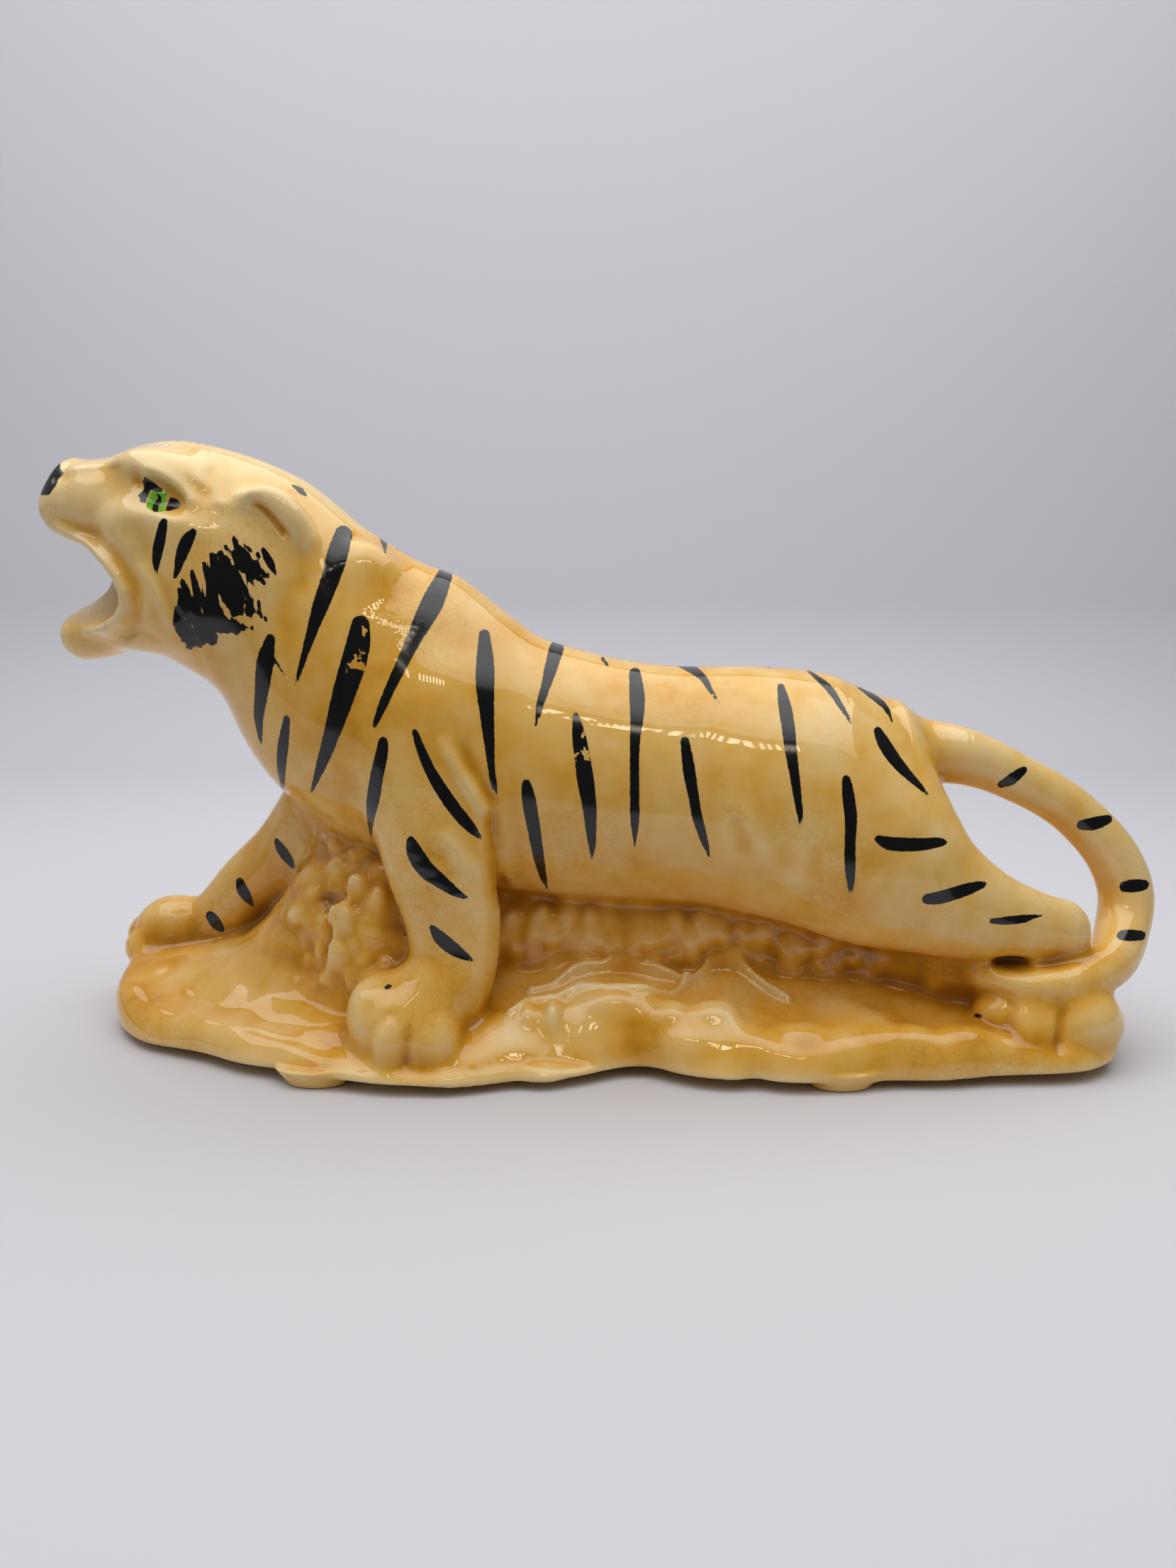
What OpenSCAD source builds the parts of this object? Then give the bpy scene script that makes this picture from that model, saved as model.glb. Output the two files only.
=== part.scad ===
// Ceramic tiger planter: a striding tiger on a hollow rock base, with a planting trough behind it.
// The figure is cast in sections that are luted together, and each section is a module here.
// Sizes are in millimetres. +Z is up, the tiger looks towards -X and its left side is towards -Y.
// The origin is on the table, under the middle of the piece.

/* [Base] */
// Length of the base
base_l = 346; // [334:1:358]
// Depth of the base, from the bulge under the left forepaw to the back
base_d = 156; // [150:1:170]
// Place of the base's middle along X
base_x = -3.5; // [-8:0.5:2]
// Squareness of the outline at the head end in front, 2 is an ellipse
head_front = 2.2; // [2:0.1:3]
// Squareness of the outline at the head end behind
head_back = 2.6; // [2:0.1:3]
// Squareness of the outline at the tail end
tail_end = 5.2; // [3:0.1:6]
// How far the front of the outline lies behind the tip of its bulge
front_in = 6; // [4:1:8]
// How far the outline bulges under the left forepaw
bulge_d = 8; // [5:1:10]
// Place of the bulge along X
bulge_x = -62; // [-74:1:-50]
// Half width of the bulge
bulge_run = 30; // [20:1:40]
// Depth of the bay in the front of the outline
bay_d = 11; // [6:1:14]
// Place of the bay along X
bay_x = 9; // [0:1:20]
// Half width of the bay
bay_run = 15; // [11:1:20]
// Width of the ring that the base stands on its pads with
rim_w = 15; // [12:1:18]

/* [Ledge] */
// Height of the rock ledge above the table, at the foot of the bank
ledge_z = 28; // [25:1:31]
// Height of the low shelves under the forepaws and the tail
shelf_z = 14; // [12:1:17]
// Place along X where the ledge is halfway up at the head end
rise_x = -36; // [-44:1:-28]
// Run of the slope at the head end
rise_run = 44; // [32:1:56]
// Place along X where the ledge is halfway down at the tail end
fall_x = 106; // [98:1:114]
// Run of the slope at the tail end
fall_run = 110; // [90:1:120]
// How far the ledge drops from the bank to its crest
tilt = 6; // [3:1:7]
// Distance in Y over which it drops
tilt_run = 20; // [14:1:26]
// Distance from the crest out to the front edge, at least
crest_in = 14; // [11:1:16]
// Distance from the middle of the base out to the crest, at least
crest_out = 46; // [42:1:50]
// Height that the front slope runs down to
front_z = 8; // [7:0.5:10]
// Run of the front slope
front_run = 18; // [16:1:24]

/* [Casting] */
// Wall of the hollow castings
wall = 4; // [3:0.5:6]

/* [Foot pads] */
// Height of the foot pads
foot_h = 3; // [2:0.5:5]
// Diameter of a foot pad at the table
foot_d = 12; // [9:1:14]
// How much wider a foot pad is at the top
foot_flare = 3; // [1:0.5:4]
// Place along X of the pads at the head end
foot_head_x = -92; // [-110:1:-80]
// Place along X of the pads at the tail end
foot_tail_x = 74; // [60:1:100]

/* [Trough] */
// Length of the trough at its rim
well_l = 176; // [150:1:186]
// Width of the trough at its rim
well_w = 62; // [54:1:66]
// Height of the trough's rim above the table
well_rim_z = 82; // [66:1:92]
// Place of the trough's middle along X
well_x = -4; // [-10:1:4]
// Distance from the trough's rim to the back of the base
well_back = 8; // [6:1:12]
// How far the trough's wall leans out from foot to rim
well_lean = 5; // [0:1:8]
// Squareness of the trough's outline
well_n = 2.8; // [2:0.1:4]

/* [Body] */
// Height of the middle of the body above the table
body_z = 88; // [84:1:96]
// Distance from the front of the base to the tiger's middle plane
stand_in = 63; // [58:1:68]

/* [Body sections: x, rise from the middle of the body, half width, half height] */
// Tail root
rump = [110, 6, 20, 22]; // [-190:1:190]
// Over the hind legs
haunch = [86, -1, 34, 37]; // [-190:1:190]
// Behind the ribs
loin = [52, -1, 36, 42]; // [-190:1:190]
// Middle of the body
waist = [16, 0, 35, 41]; // [-190:1:190]
// Behind the shoulder
ribs = [-16, 4, 36, 42]; // [-190:1:190]
// Through the shoulder
chest = [-46, 12, 37, 44]; // [-190:1:190]
// Top of the shoulder to the breast
withers = [-80, 33, 36, 48]; // [-190:1:190]
// Seam between torso and head
neck = [-104, 57, 31, 40]; // [-190:1:190]

/* [Head sections: x, rise from the middle of the body, half width, half height] */
// Through the ears
skull = [-124, 75, 32, 35]; // [-190:1:190]
// Through the eyes
brow = [-147, 89, 28, 27]; // [-190:1:190]
// Middle of the muzzle
muzzle = [-168, 95, 20, 16]; // [-190:1:190]
// Tip of the nose
nose = [-180, 96.5, 15, 12]; // [-190:1:190]
// Jaw inside the cheeks
jaw_root = [-140, 66, 25, 20]; // [-190:1:190]
// Middle of the jaw
jaw_mid = [-158, 59, 19, 14]; // [-190:1:190]
// Chin
jaw_tip = [-176, 51.5, 14, 9]; // [-190:1:190]

/* [Ears] */
// Distance from the middle plane to an ear's root
ear_in = 24; // [20:1:28]
// Distance from the middle plane to an ear's tip
ear_out = 33; // [30:1:38]
// Radius of an ear
ear_r = 10; // [7:1:13]

/* [Left foreleg: x, distance out from the middle plane, rise from the middle of the body, radius] */
// Shoulder, inside the torso
left_shoulder = [-58, 20, 20, 24]; // [-190:1:190]
// Elbow
left_elbow = [-57, 27, -16, 21]; // [-190:1:190]
// Forearm
left_forearm = [-52, 31, -42, 15.5]; // [-190:1:190]
// Wrist
left_wrist = [-54, 34, -57, 14]; // [-190:1:190]

/* [Right foreleg: x, distance out from the middle plane, rise from the middle of the body, radius] */
// Shoulder, inside the torso
right_shoulder = [-84, 17, 18, 22]; // [-190:1:190]
// Elbow
right_elbow = [-109, 24, -15, 15]; // [-190:1:190]
// Forearm
right_forearm = [-123, 28, -32, 13.5]; // [-190:1:190]
// Wrist
right_wrist = [-137, 31, -48, 12.5]; // [-190:1:190]

/* [Left hind leg: x, distance out from the middle plane, rise from the middle of the body, radius] */
// Hip, inside the torso
left_hip = [72, 20, -10, 30]; // [-190:1:190]
// Thigh
left_thigh = [94, 24, -22, 28]; // [-190:1:190]
// Knee
left_knee = [108, 26, -30, 21]; // [-190:1:190]
// Shank
left_shank = [123, 27, -36, 15]; // [-190:1:190]
// Hock
left_hock = [141, 27, -43, 11.5]; // [-190:1:190]
// Heel
left_heel = [155, 26, -44, 11]; // [-190:1:190]

/* [Right hind leg: x, distance out from the middle plane, rise from the middle of the body, radius] */
// Hip, inside the torso
right_hip = [78, 18, -6, 28]; // [-190:1:190]
// Knee
right_knee = [96, 25, -28, 20]; // [-190:1:190]
// Hock
right_hock = [106, 29, -46, 14]; // [-190:1:190]

/* [Paws: x, distance out from the middle plane, radius] */
// Left forepaw, middle
left_fore_foot = [-62, 40, 14]; // [-190:1:190]
// Left forepaw, toes
left_fore_toes = [-67, 44, 13]; // [-190:1:190]
// Right forepaw, middle
right_fore_foot = [-153, 33, 13]; // [-190:1:190]
// Right forepaw, toes
right_fore_toes = [-171, 33, 12]; // [-190:1:190]
// Right hind paw, middle
right_hind_foot = [116, 31, 11]; // [-190:1:190]
// Right hind paw, toes
right_hind_toes = [126, 32, 10]; // [-190:1:190]

/* [Tail: x, distance out to the left, rise from the middle of the body, radius] */
// Root, inside the rump
tail_root = [104, 0, 15, 11]; // [-190:1:190]
// Upper run
tail_upper = [126, 0, 8, 10.5]; // [-190:1:190]
// Top of the bend
tail_arch = [147, 0, -1, 10]; // [-190:1:190]
// Outer bend
tail_bend = [166, 1, -15, 9.5]; // [-190:1:190]
// Furthest point
tail_side = [178, 3, -30, 9.5]; // [-190:1:190]

/* [Tail's end: x, distance out to the left, rise above the shelf, radius] */
// Lower bend
tail_drop = [180, 9, 30, 9.5]; // [-190:1:190]
// Turn towards the front
tail_turn = [177, 20, 20, 9]; // [-190:1:190]
// Run in front of the heel
tail_front = [164, 33, 15, 8]; // [-190:1:190]
// Thin end
tail_thin = [147, 39, 14, 6.5]; // [-190:1:190]
// Tip
tail_tip = [131, 41, 12, 4]; // [-190:1:190]

/* [Heap under the chest: x, distance out to the left, rise, radius] */
// Mound of the base that the heap stands on: height above the shelf, and radius
mound = [-100, -20, 28, 34]; // [-190:1:190]
// Foot of the heap, above the shelf
heap_foot = [-95, -1, 11, 24]; // [-190:1:190]
// Middle of the heap, above the shelf
heap_mid = [-93, -3, 22, 20]; // [-190:1:190]
// Top of the heap, inside the chest, from the middle of the body
heap_top = [-88, -5, -16, 14]; // [-190:1:190]

/* [Bank under the belly: x, distance out to the left, rise above the ledge, radius] */
// Bank, head end
bank_head = [-36, 2, 6, 17]; // [-190:1:190]
// Bank, first quarter
bank_fore = [4, -1, 8, 20]; // [-190:1:190]
// Bank, middle
bank_mid = [46, -1, 8, 20]; // [-190:1:190]
// Bank, last quarter
bank_hind = [92, 5, 6, 20]; // [-190:1:190]
// Bank, tail end under the heel
bank_tail = [132, 15, -2, 15]; // [-190:1:190]

/* [Boulders: x, distance out to the left, rise above the base, radius] */
// Boulder under the tail's thin end
boulder_mid = [139, 44, 3, 12]; // [-190:1:190]
// Boulder under the turn of the tail
boulder_tail = [158, 35, 3, 13]; // [-190:1:190]
// Boulder in front of the tail's tip
boulder_tip = [123, 43, 2, 9.5]; // [-190:1:190]

/* [Hidden] */

// Colours of the glaze: pale on high points, amber where it pools
pale_glaze = [0.91, 0.79, 0.52];
warm_glaze = [0.86, 0.69, 0.36];
amber_glaze = [0.78, 0.58, 0.26];

// Degrees in a whole turn
turn = 360;
// Points around a ring on the body, on a limb and on the trough, and along the base's front and back
body_sides = 28;
limb_sides = 16;
plan_sides = 64;
front_sides = 48;
back_sides = 22;
// Rings between two stations of the body and of a limb
body_steps = 4;
limb_steps = 3;
// Angles of the rings that round off an end
dome_angles = [22, 44, 66, 84];
// Angles of the rings of a boulder
ball_angles = [-84 : 24 : 84];
// Length of a rounded end over its radius
dome_ratio = 0.75;
// Sideways radius of a thigh over its radius up and down
thigh_side = 0.72;
// Sideways radius of the bank over its radius up and down
bank_side = 0.75;
// Sideways radius of an ear over its radius up and down
ear_side = 0.9;
// Rounding of the base's lower and upper edges
edge_in = 2;
edge_round = 6;
// Side wall of the base above its ring
skirt_w = 10;
// Scales of the rings that close the trough's floor and the base's hollow
plan_scales = [0.86, 0.68, 0.46, 0.24, 0.06];
// Scales of the rings that close the base's top
top_scales = [0.93, 0.86, 0.77, 0.67, 0.56, 0.42, 0.26, 0.06];
// How sharply the front slope turns down at its crest
front_turn = 1.6;
// Share of a paw's radius that stands above the base
paw_stand = 0.86;
// Extra height of the rump's rounded end
rump_round = 10;
// Axes that limb sections are built from
along_x = [1, 0, 0];
along_y = [0, 1, 0];
along_z = [0, 0, 1];
// Largest slope step of the tangent, in stations
tangent_step = 0.05;

mid_y = stand_in - base_d / 2;
well_y = base_d / 2 - well_back - well_w / 2;
well_floor_z = ledge_z + wall;
spine = [rump, haunch, loin, waist, ribs, chest, withers, neck, skull, brow, muzzle, nose];
neck_at = 7;
nose_at = len(spine) - 1;
muzzle_at = nose_at - 1;

function unit(v) = v / norm(v);
function smooth(t) = let (c = max(0, min(1, t))) c * c * (3 - 2 * c);
function bell(t) = exp(-t * t);
function power(v, n) = sign(v) * pow(abs(v), n);

// Points of a smooth curve through stations, at any place u along them
function station(list, i) = list[max(0, min(len(list) - 1, i))];
function curve(list, u) =
    let (
        i = min(floor(u), len(list) - 2),
        t = u - i,
        a = station(list, i - 1),
        b = station(list, i),
        c = station(list, i + 1),
        d = station(list, i + 2)
    )
    (2 * b + (c - a) * t + (2 * a - 5 * b + 4 * c - d) * t * t + (3 * b - a - 3 * c + d) * t * t * t) / 2;
function place(s) = [s[0], s[1], s[2]];
function heading(list, u) =
    unit(place(curve(list, min(u + tangent_step, len(list) - 1)))
        - place(curve(list, max(u - tangent_step, 0))));

// One ring of points square to a direction, with its two half sizes
function ring(centre, dir, axis, up_r, side_r, sides) =
    let (up = unit(cross(axis, dir)), side = cross(dir, up))
    [for (i = [0 : sides - 1])
        centre + up * up_r * cos(turn * i / sides) + side * side_r * sin(turn * i / sides)];

// Stations as [x, y, z, radius up and down, radius sideways]
function body_station(s) = [s[0], mid_y, body_z + s[1], s[3], s[2]];
function limb_station(s, ratio) = [s[0], s[1], s[2], s[3], s[3] * ratio];
// Stations given by their distance out from the middle plane: side is -1 for the left, 1 for the right
function risen(s, side, from) = [s[0], mid_y + side * s[1], from + s[2], s[3]];
function leg_station(s, side) = risen(s, side, body_z);
function paw_station(s, side) =
    let (y = mid_y + side * s[1])
    [s[0], y, base_top(s[0], y) + s[2] * paw_stand, s[2]];

function section(list, u, axis, thin, sides) =
    let (s = curve(list, u))
    ring(place(s), heading(list, u), axis, s[3] - thin, s[4] - thin, sides);
function sections(list, from, to, steps, axis, thin, sides) =
    [for (i = [0 : steps]) section(list, from + (to - from) * i / steps, axis, thin, sides)];
// Rings that round off one end: way is 1 past the end of the list and -1 before its start
function dome(list, u, way, reach, axis, thin, sides) =
    let (s = curve(list, u), dir = heading(list, u), order = way > 0 ? dome_angles : reversed(dome_angles))
    [for (a = order)
        ring(place(s) + dir * way * (reach - thin) * sin(a), dir, axis,
            (s[3] - thin) * cos(a), (s[4] - thin) * cos(a), sides)];
function reversed(list) = [for (i = [len(list) - 1 : -1 : 0]) list[i]];

// Closed solid through a list of rings, with its first and last ring capped
module skin(rings) {
    n = len(rings[0]);
    m = len(rings);
    walls = [for (j = [0 : m - 2], i = [0 : n - 1], half = [0, 1])
        let (k = (i + 1) % n, low = j * n, high = low + n)
        half == 0 ? [low + i, high + i, low + k] : [low + k, high + i, high + k]];
    first = [for (i = [0 : n - 1]) i];
    last = [for (i = [n - 1 : -1 : 0]) (m - 1) * n + i];
    polyhedron([for (r = rings, p = r) p], concat([first], walls, [last]));
}

// Rounded limb through its stations
module limb(list, axis) {
    last = len(list) - 1;
    steps = last * limb_steps;
    skin(concat(
        dome(list, 0, -1, list[0][3] * dome_ratio, axis, 0, limb_sides),
        sections(list, 0, last, steps, axis, 0, limb_sides),
        dome(list, last, 1, list[last][3] * dome_ratio, axis, 0, limb_sides)));
}

// A boulder: a ball of rings about one station
module boulder(s) {
    c = risen(s, -1, base_top(s[0], mid_y - s[1]));
    skin([for (a = ball_angles)
        let (r = c[3] * cos(a))
        ring(place(c) + along_z * c[3] * sin(a), along_z, along_x, r, r, limb_sides)]);
}

// Reach of the base's outline from its long axis: side is -1 in front and 1 behind
function base_reach(x, side, inset) =
    let (
        along = x - base_x,
        u = min(1, abs(along) / (base_l / 2 - inset)),
        n = along > 0 ? tail_end : side < 0 ? head_front : head_back,
        half = base_d / 2 - inset - (side < 0 ? front_in : 0),
        wave = bulge_d * bell((x - bulge_x) / bulge_run) - bay_d * bell((x - bay_x) / bay_run)
    )
    half * pow(1 - pow(u, n), 1 / n) + (side < 0 && u < 1 ? wave : 0);
// Height of the base's top: shelves at both ends, the sloping ledge, the front slope and the mound
function base_top(x, y) =
    let (
        share = smooth((x - rise_x) / rise_run + 1 / 2) * smooth((fall_x - x) / fall_run + 1 / 2),
        foot = shelf_z + (ledge_z - shelf_z) * share,
        out = -y - max(crest_out, base_reach(x, -1, 0) - crest_in),
        crest = foot - tilt * share * smooth(1 + out / tilt_run),
        over = pow(max(0, min(1, out / front_run)), front_turn),
        far = norm([x - mound[0], y - mid_y + mound[1]]) / mound[3]
    )
    crest - (crest - front_z) * over + mound[2] * bell(far);
// Outline of the base, drawn in by inset and scaled by share
function base_edge(inset, share) =
    let (
        half = turn / 2,
        behind = [for (i = [0 : back_sides - 1]) half * i / back_sides],
        before = [for (i = [0 : front_sides - 1]) half + half * i / front_sides]
    )
    [for (t = concat(behind, before))
        let (
            x = base_x + (base_l / 2 - inset) * cos(t),
            side = t < half ? 1 : -1
        )
        [base_x + (x - base_x) * share, side * base_reach(x, side, inset) * share]];
function flat_ring(edge, z) = [for (p = edge) [p[0], p[1], z]];
function top_ring(edge, below) = [for (p = edge) [p[0], p[1], base_top(p[0], p[1]) - below]];
function roof_ring(edge, below) = [for (p = edge) [p[0], p[1], min(ledge_z, base_top(p[0], p[1])) - below]];
function outer_rings() = concat(
    [flat_ring(base_edge(edge_in, 1), foot_h), flat_ring(base_edge(0, 1), foot_h + edge_in)],
    [top_ring(base_edge(0, 1), edge_round / 2), top_ring(base_edge(edge_in, 1), edge_in / 2)],
    [top_ring(base_edge(edge_round, 1), 0)],
    [for (s = top_scales) top_ring(base_edge(edge_round, s), 0)]);
function inner_rings() = concat(
    [flat_ring(base_edge(rim_w, 1), foot_h), flat_ring(base_edge(skirt_w, 1), foot_h + edge_in)],
    [roof_ring(base_edge(skirt_w, 1), wall + edge_in)],
    [for (s = plan_scales) roof_ring(base_edge(skirt_w, s), wall)]);

// Outline of the trough, with its wall leaning out from foot to rim
function well_edge(z, inset, share) =
    let (lean = well_lean * (well_rim_z - z) / (well_rim_z - ledge_z))
    [for (i = [0 : plan_sides - 1])
        let (t = turn * i / plan_sides)
        [well_x + share * (well_l / 2 - lean - inset) * power(cos(t), 2 / well_n),
            well_y + share * (well_w / 2 - lean - inset) * power(sin(t), 2 / well_n), z]];

// Whole forms that cut their smaller neighbours, so that luted sections meet face to face
module base_form() { skin(outer_rings()); }
body = [for (s = spine) body_station(s)];
module torso_form() {
    skin(concat(
        dome(body, 0, -1, rump_round, along_y, 0, body_sides),
        sections(body, 0, neck_at, neck_at * body_steps, along_y, 0, body_sides)));
}
module head_form() {
    skin(concat(
        sections(body, neck_at, nose_at, (nose_at - neck_at) * body_steps, along_y, 0, body_sides),
        dome(body, nose_at, 1, nose[3] * dome_ratio, along_y, 0, body_sides)));
}
module left_foreleg_form() {
    leg = [for (s = [left_shoulder, left_elbow, left_forearm, left_wrist]) leg_station(s, -1)];
    paw = [for (s = [left_fore_foot, left_fore_toes]) paw_station(s, -1)];
    limb([for (s = concat(leg, paw)) limb_station(s, 1)], along_x);
}
module right_foreleg_form() {
    leg = [for (s = [right_shoulder, right_elbow, right_forearm, right_wrist]) leg_station(s, 1)];
    paw = [for (s = [right_fore_foot, right_fore_toes]) paw_station(s, 1)];
    limb([for (s = concat(leg, paw)) limb_station(s, 1)], along_y);
}
module left_hind_leg_form() {
    leg = [left_hip, left_thigh, left_knee, left_shank, left_hock, left_heel];
    limb([for (s = leg) limb_station(leg_station(s, -1), thigh_side)], along_y);
}
module right_hind_leg_form() {
    leg = [for (s = [right_hip, right_knee, right_hock]) leg_station(s, 1)];
    paw = [for (s = [right_hind_foot, right_hind_toes]) paw_station(s, 1)];
    limb([for (s = concat(leg, paw)) limb_station(s, thigh_side)], along_y);
}
module tail_form() {
    upper = [tail_root, tail_upper, tail_arch, tail_bend, tail_side];
    end = [tail_drop, tail_turn, tail_front, tail_thin, tail_tip];
    run = concat(
        [for (s = upper) risen(s, -1, body_z)],
        [for (s = end) risen(s, -1, shelf_z)]);
    limb([for (s = run) limb_station(s, 1)], along_y);
}
module trough_form() {
    skin(concat(
        [for (s = reversed(plan_scales)) well_edge(ledge_z, 0, s)],
        [well_edge(ledge_z, 0, 1), well_edge(well_rim_z, 0, 1)]));
}

// Hollow rock base, open underneath
module base_plinth() {
    color(amber_glaze)
        skin(concat(reversed(inner_rings()), outer_rings()));
}

// Four low pads, the only faces that touch the table
module foot_pads() {
    color(pale_glaze)
        for (x = [foot_head_x, foot_tail_x], side = [-1, 1]) {
            edge = base_reach(x, side, edge_in);
            translate([x, side * (edge - foot_d / 2 - foot_flare), 0])
                cylinder(h = foot_h, d1 = foot_d, d2 = foot_d + foot_flare);
        }
}

// Open trough for the plant, standing on the ledge behind the tiger
module planting_trough() {
    color(amber_glaze)
        difference() {
            skin(concat(
                [for (s = reversed(plan_scales)) well_edge(ledge_z, 0, s)],
                [well_edge(ledge_z, 0, 1), well_edge(well_rim_z, 0, 1)],
                [well_edge(well_rim_z, wall, 1), well_edge(well_floor_z, wall, 1)],
                [for (s = plan_scales) well_edge(well_floor_z, wall, s)]));
            torso_form();
            base_form();
        }
}

// Textured bank that carries the belly
module rock_bank() {
    run = [bank_head, bank_fore, bank_mid, bank_hind, bank_tail];
    color(amber_glaze)
        difference() {
            limb([for (s = run) limb_station(risen(s, -1, ledge_z), bank_side)], along_y);
            torso_form();
            base_form();
            trough_form();
            left_hind_leg_form();
            right_hind_leg_form();
            left_foreleg_form();
        }
}

// Rock heap under the chest
module front_rocks() {
    heap = [risen(heap_foot, -1, shelf_z), risen(heap_mid, -1, shelf_z), risen(heap_top, -1, body_z)];
    color(amber_glaze)
        difference() {
            limb([for (s = heap) limb_station(s, 1)], along_x);
            torso_form();
            base_form();
            left_foreleg_form();
            right_foreleg_form();
        }
}

// Boulders under the tail's end
module tail_rocks() {
    color(amber_glaze)
        difference() {
            union() {
                boulder(boulder_mid);
                boulder(boulder_tail);
                boulder(boulder_tip);
            }
            base_form();
            tail_form();
            left_hind_leg_form();
        }
}

// Hollow casting of the body, open at the neck
module torso() {
    color(warm_glaze)
        skin(concat(
            dome(body, 0, -1, rump_round, along_y, 0, body_sides),
            sections(body, 0, neck_at, neck_at * body_steps, along_y, 0, body_sides),
            sections(body, neck_at, 0, neck_at * body_steps, along_y, wall, body_sides),
            reversed(dome(body, 0, -1, rump_round, along_y, wall, body_sides))));
}

// Hollow casting of the head with its upper jaw, open at the neck
module head() {
    steps = (nose_at - neck_at) * body_steps;
    hollow = (muzzle_at - neck_at) * body_steps;
    color(pale_glaze)
        skin(concat(
            sections(body, muzzle_at, neck_at, hollow, along_y, wall, body_sides),
            sections(body, neck_at, nose_at, steps, along_y, 0, body_sides),
            dome(body, nose_at, 1, nose[3] * dome_ratio, along_y, 0, body_sides)));
}

// Lower jaw of the open mouth
module lower_jaw() {
    color(pale_glaze)
        difference() {
            limb([for (s = [jaw_root, jaw_mid, jaw_tip]) body_station(s)], along_y);
            head_form();
            torso_form();
        }
}

// Ear laid back against the skull: side is -1 for the left ear and 1 for the right
module ear(side) {
    ear_z = body_z + skull[1] + ear_r;
    root = [(skull[0] + neck[0]) / 2, mid_y + side * ear_in, ear_z, ear_r];
    tip = [neck[0], mid_y + side * ear_out, ear_z + wall, ear_r * dome_ratio];
    color(pale_glaze)
        difference() {
            limb([limb_station(root, ear_side), limb_station(tip, ear_side)], along_x);
            head_form();
            torso_form();
        }
}
module left_ear() { ear(-1); }
module right_ear() { ear(1); }

// Near foreleg, standing on the bulge of the base
module left_foreleg() {
    color(pale_glaze)
        difference() {
            left_foreleg_form();
            torso_form();
            base_form();
        }
}

// Far foreleg, reaching forwards
module right_foreleg() {
    color(warm_glaze)
        difference() {
            right_foreleg_form();
            torso_form();
            base_form();
            trough_form();
        }
}

// Near hind leg, stretched back over the bank
module left_hind_leg() {
    color(pale_glaze)
        difference() {
            left_hind_leg_form();
            torso_form();
            base_form();
            tail_form();
        }
}

// Far hind leg, standing behind the trough's end
module right_hind_leg() {
    color(warm_glaze)
        difference() {
            right_hind_leg_form();
            torso_form();
            base_form();
            trough_form();
        }
}

// Tail that loops down from the rump to the boulders
module tail() {
    color(warm_glaze)
        difference() {
            tail_form();
            torso_form();
            base_form();
        }
}

base_plinth();
foot_pads();
planting_trough();
rock_bank();
front_rocks();
tail_rocks();
torso();
head();
lower_jaw();
left_ear();
right_ear();
left_foreleg();
right_foreleg();
left_hind_leg();
right_hind_leg();
tail();
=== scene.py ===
# %% [markdown]
# # A glazed ceramic tiger planter
# The real object is a slip-cast figure. Its sections are cast in plaster moulds, luted together with
# slip while the clay is soft, dipped in a pale yellow glaze and fired, and the stripes are brushed on
# in black enamel at the end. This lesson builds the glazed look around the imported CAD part. One
# distance field holds the whole figure, because the glaze runs over every joint in one skin, and the
# skin is then cut along the luted seams into one piece for each section.

import bmesh
import bpy
import numpy as np
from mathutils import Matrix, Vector


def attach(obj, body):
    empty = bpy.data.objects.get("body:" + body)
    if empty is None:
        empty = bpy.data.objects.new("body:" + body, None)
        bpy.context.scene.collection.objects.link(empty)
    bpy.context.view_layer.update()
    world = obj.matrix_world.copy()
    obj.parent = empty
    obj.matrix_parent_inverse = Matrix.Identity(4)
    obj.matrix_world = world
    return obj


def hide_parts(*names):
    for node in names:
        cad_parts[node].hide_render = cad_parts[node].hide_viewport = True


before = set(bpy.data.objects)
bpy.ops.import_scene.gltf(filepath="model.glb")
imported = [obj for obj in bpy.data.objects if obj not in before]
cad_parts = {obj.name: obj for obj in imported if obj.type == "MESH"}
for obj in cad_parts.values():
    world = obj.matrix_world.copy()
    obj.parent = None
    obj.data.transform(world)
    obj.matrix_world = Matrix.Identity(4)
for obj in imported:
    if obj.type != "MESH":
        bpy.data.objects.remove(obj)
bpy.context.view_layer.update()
print("CAD nodes:", sorted(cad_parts))

# %% [markdown]
# ## Clay on a grid
# A modeller joins clay by pressing it on and smoothing the joint with a wet thumb. A distance field
# does the same with numbers: each grid point knows how far it is from the skin, and a smooth minimum
# of two distances rounds the joint between two lumps. Lengths in these cells are millimetres, and the
# grid is finer at the head, where the forms are small.

# %% Grid
mid_y = -15.0  # the mould's middle plane
far = 16.0  # distance at grid points that no lump has reached
half_depth = 86.0  # of the grid
tiny = 1e-9  # keeps a division from failing


def marks(*runs):
    """Marks along one axis of the grid: even runs, each from a start to an end with its own step."""
    return np.concatenate([np.arange(a, b - 0.01, s) for a, b, s in runs]).astype(np.float32)


axes = [marks((-197, -88.1, 0.9), (-88.1, 200, 1.25)), marks((-half_depth, half_depth, 1.2)),
        marks((-3, 122, 1.25), (122, 210, 0.9))]
clay = np.full([len(a) for a in axes], far, np.float32)
nearest = clay.copy()
owner = np.zeros(clay.shape, np.int8)
sections = []


def window(low, high, margin=12.0):
    """Slices of the grid around a box, and its coordinates along each axis, ready to broadcast."""
    cut = []
    for a, b, line in zip(low, high, axes):
        first, last = np.searchsorted(line, (a - margin, b + margin))
        cut.append(slice(max(0, first - 1), last + 1))
    return tuple(cut), *np.ix_(*(a[c] for a, c in zip(axes, cut)))


print("grid of", "x".join(str(n) for n in clay.shape), "points")

# %% [markdown]
# ## Pressing on and cutting out
# Two helpers change the clay. One presses a lump on and remembers which section of the casting is nearest to
# each grid point, so that the skin can be cut along the seams later. The other takes a hollow out.

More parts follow.
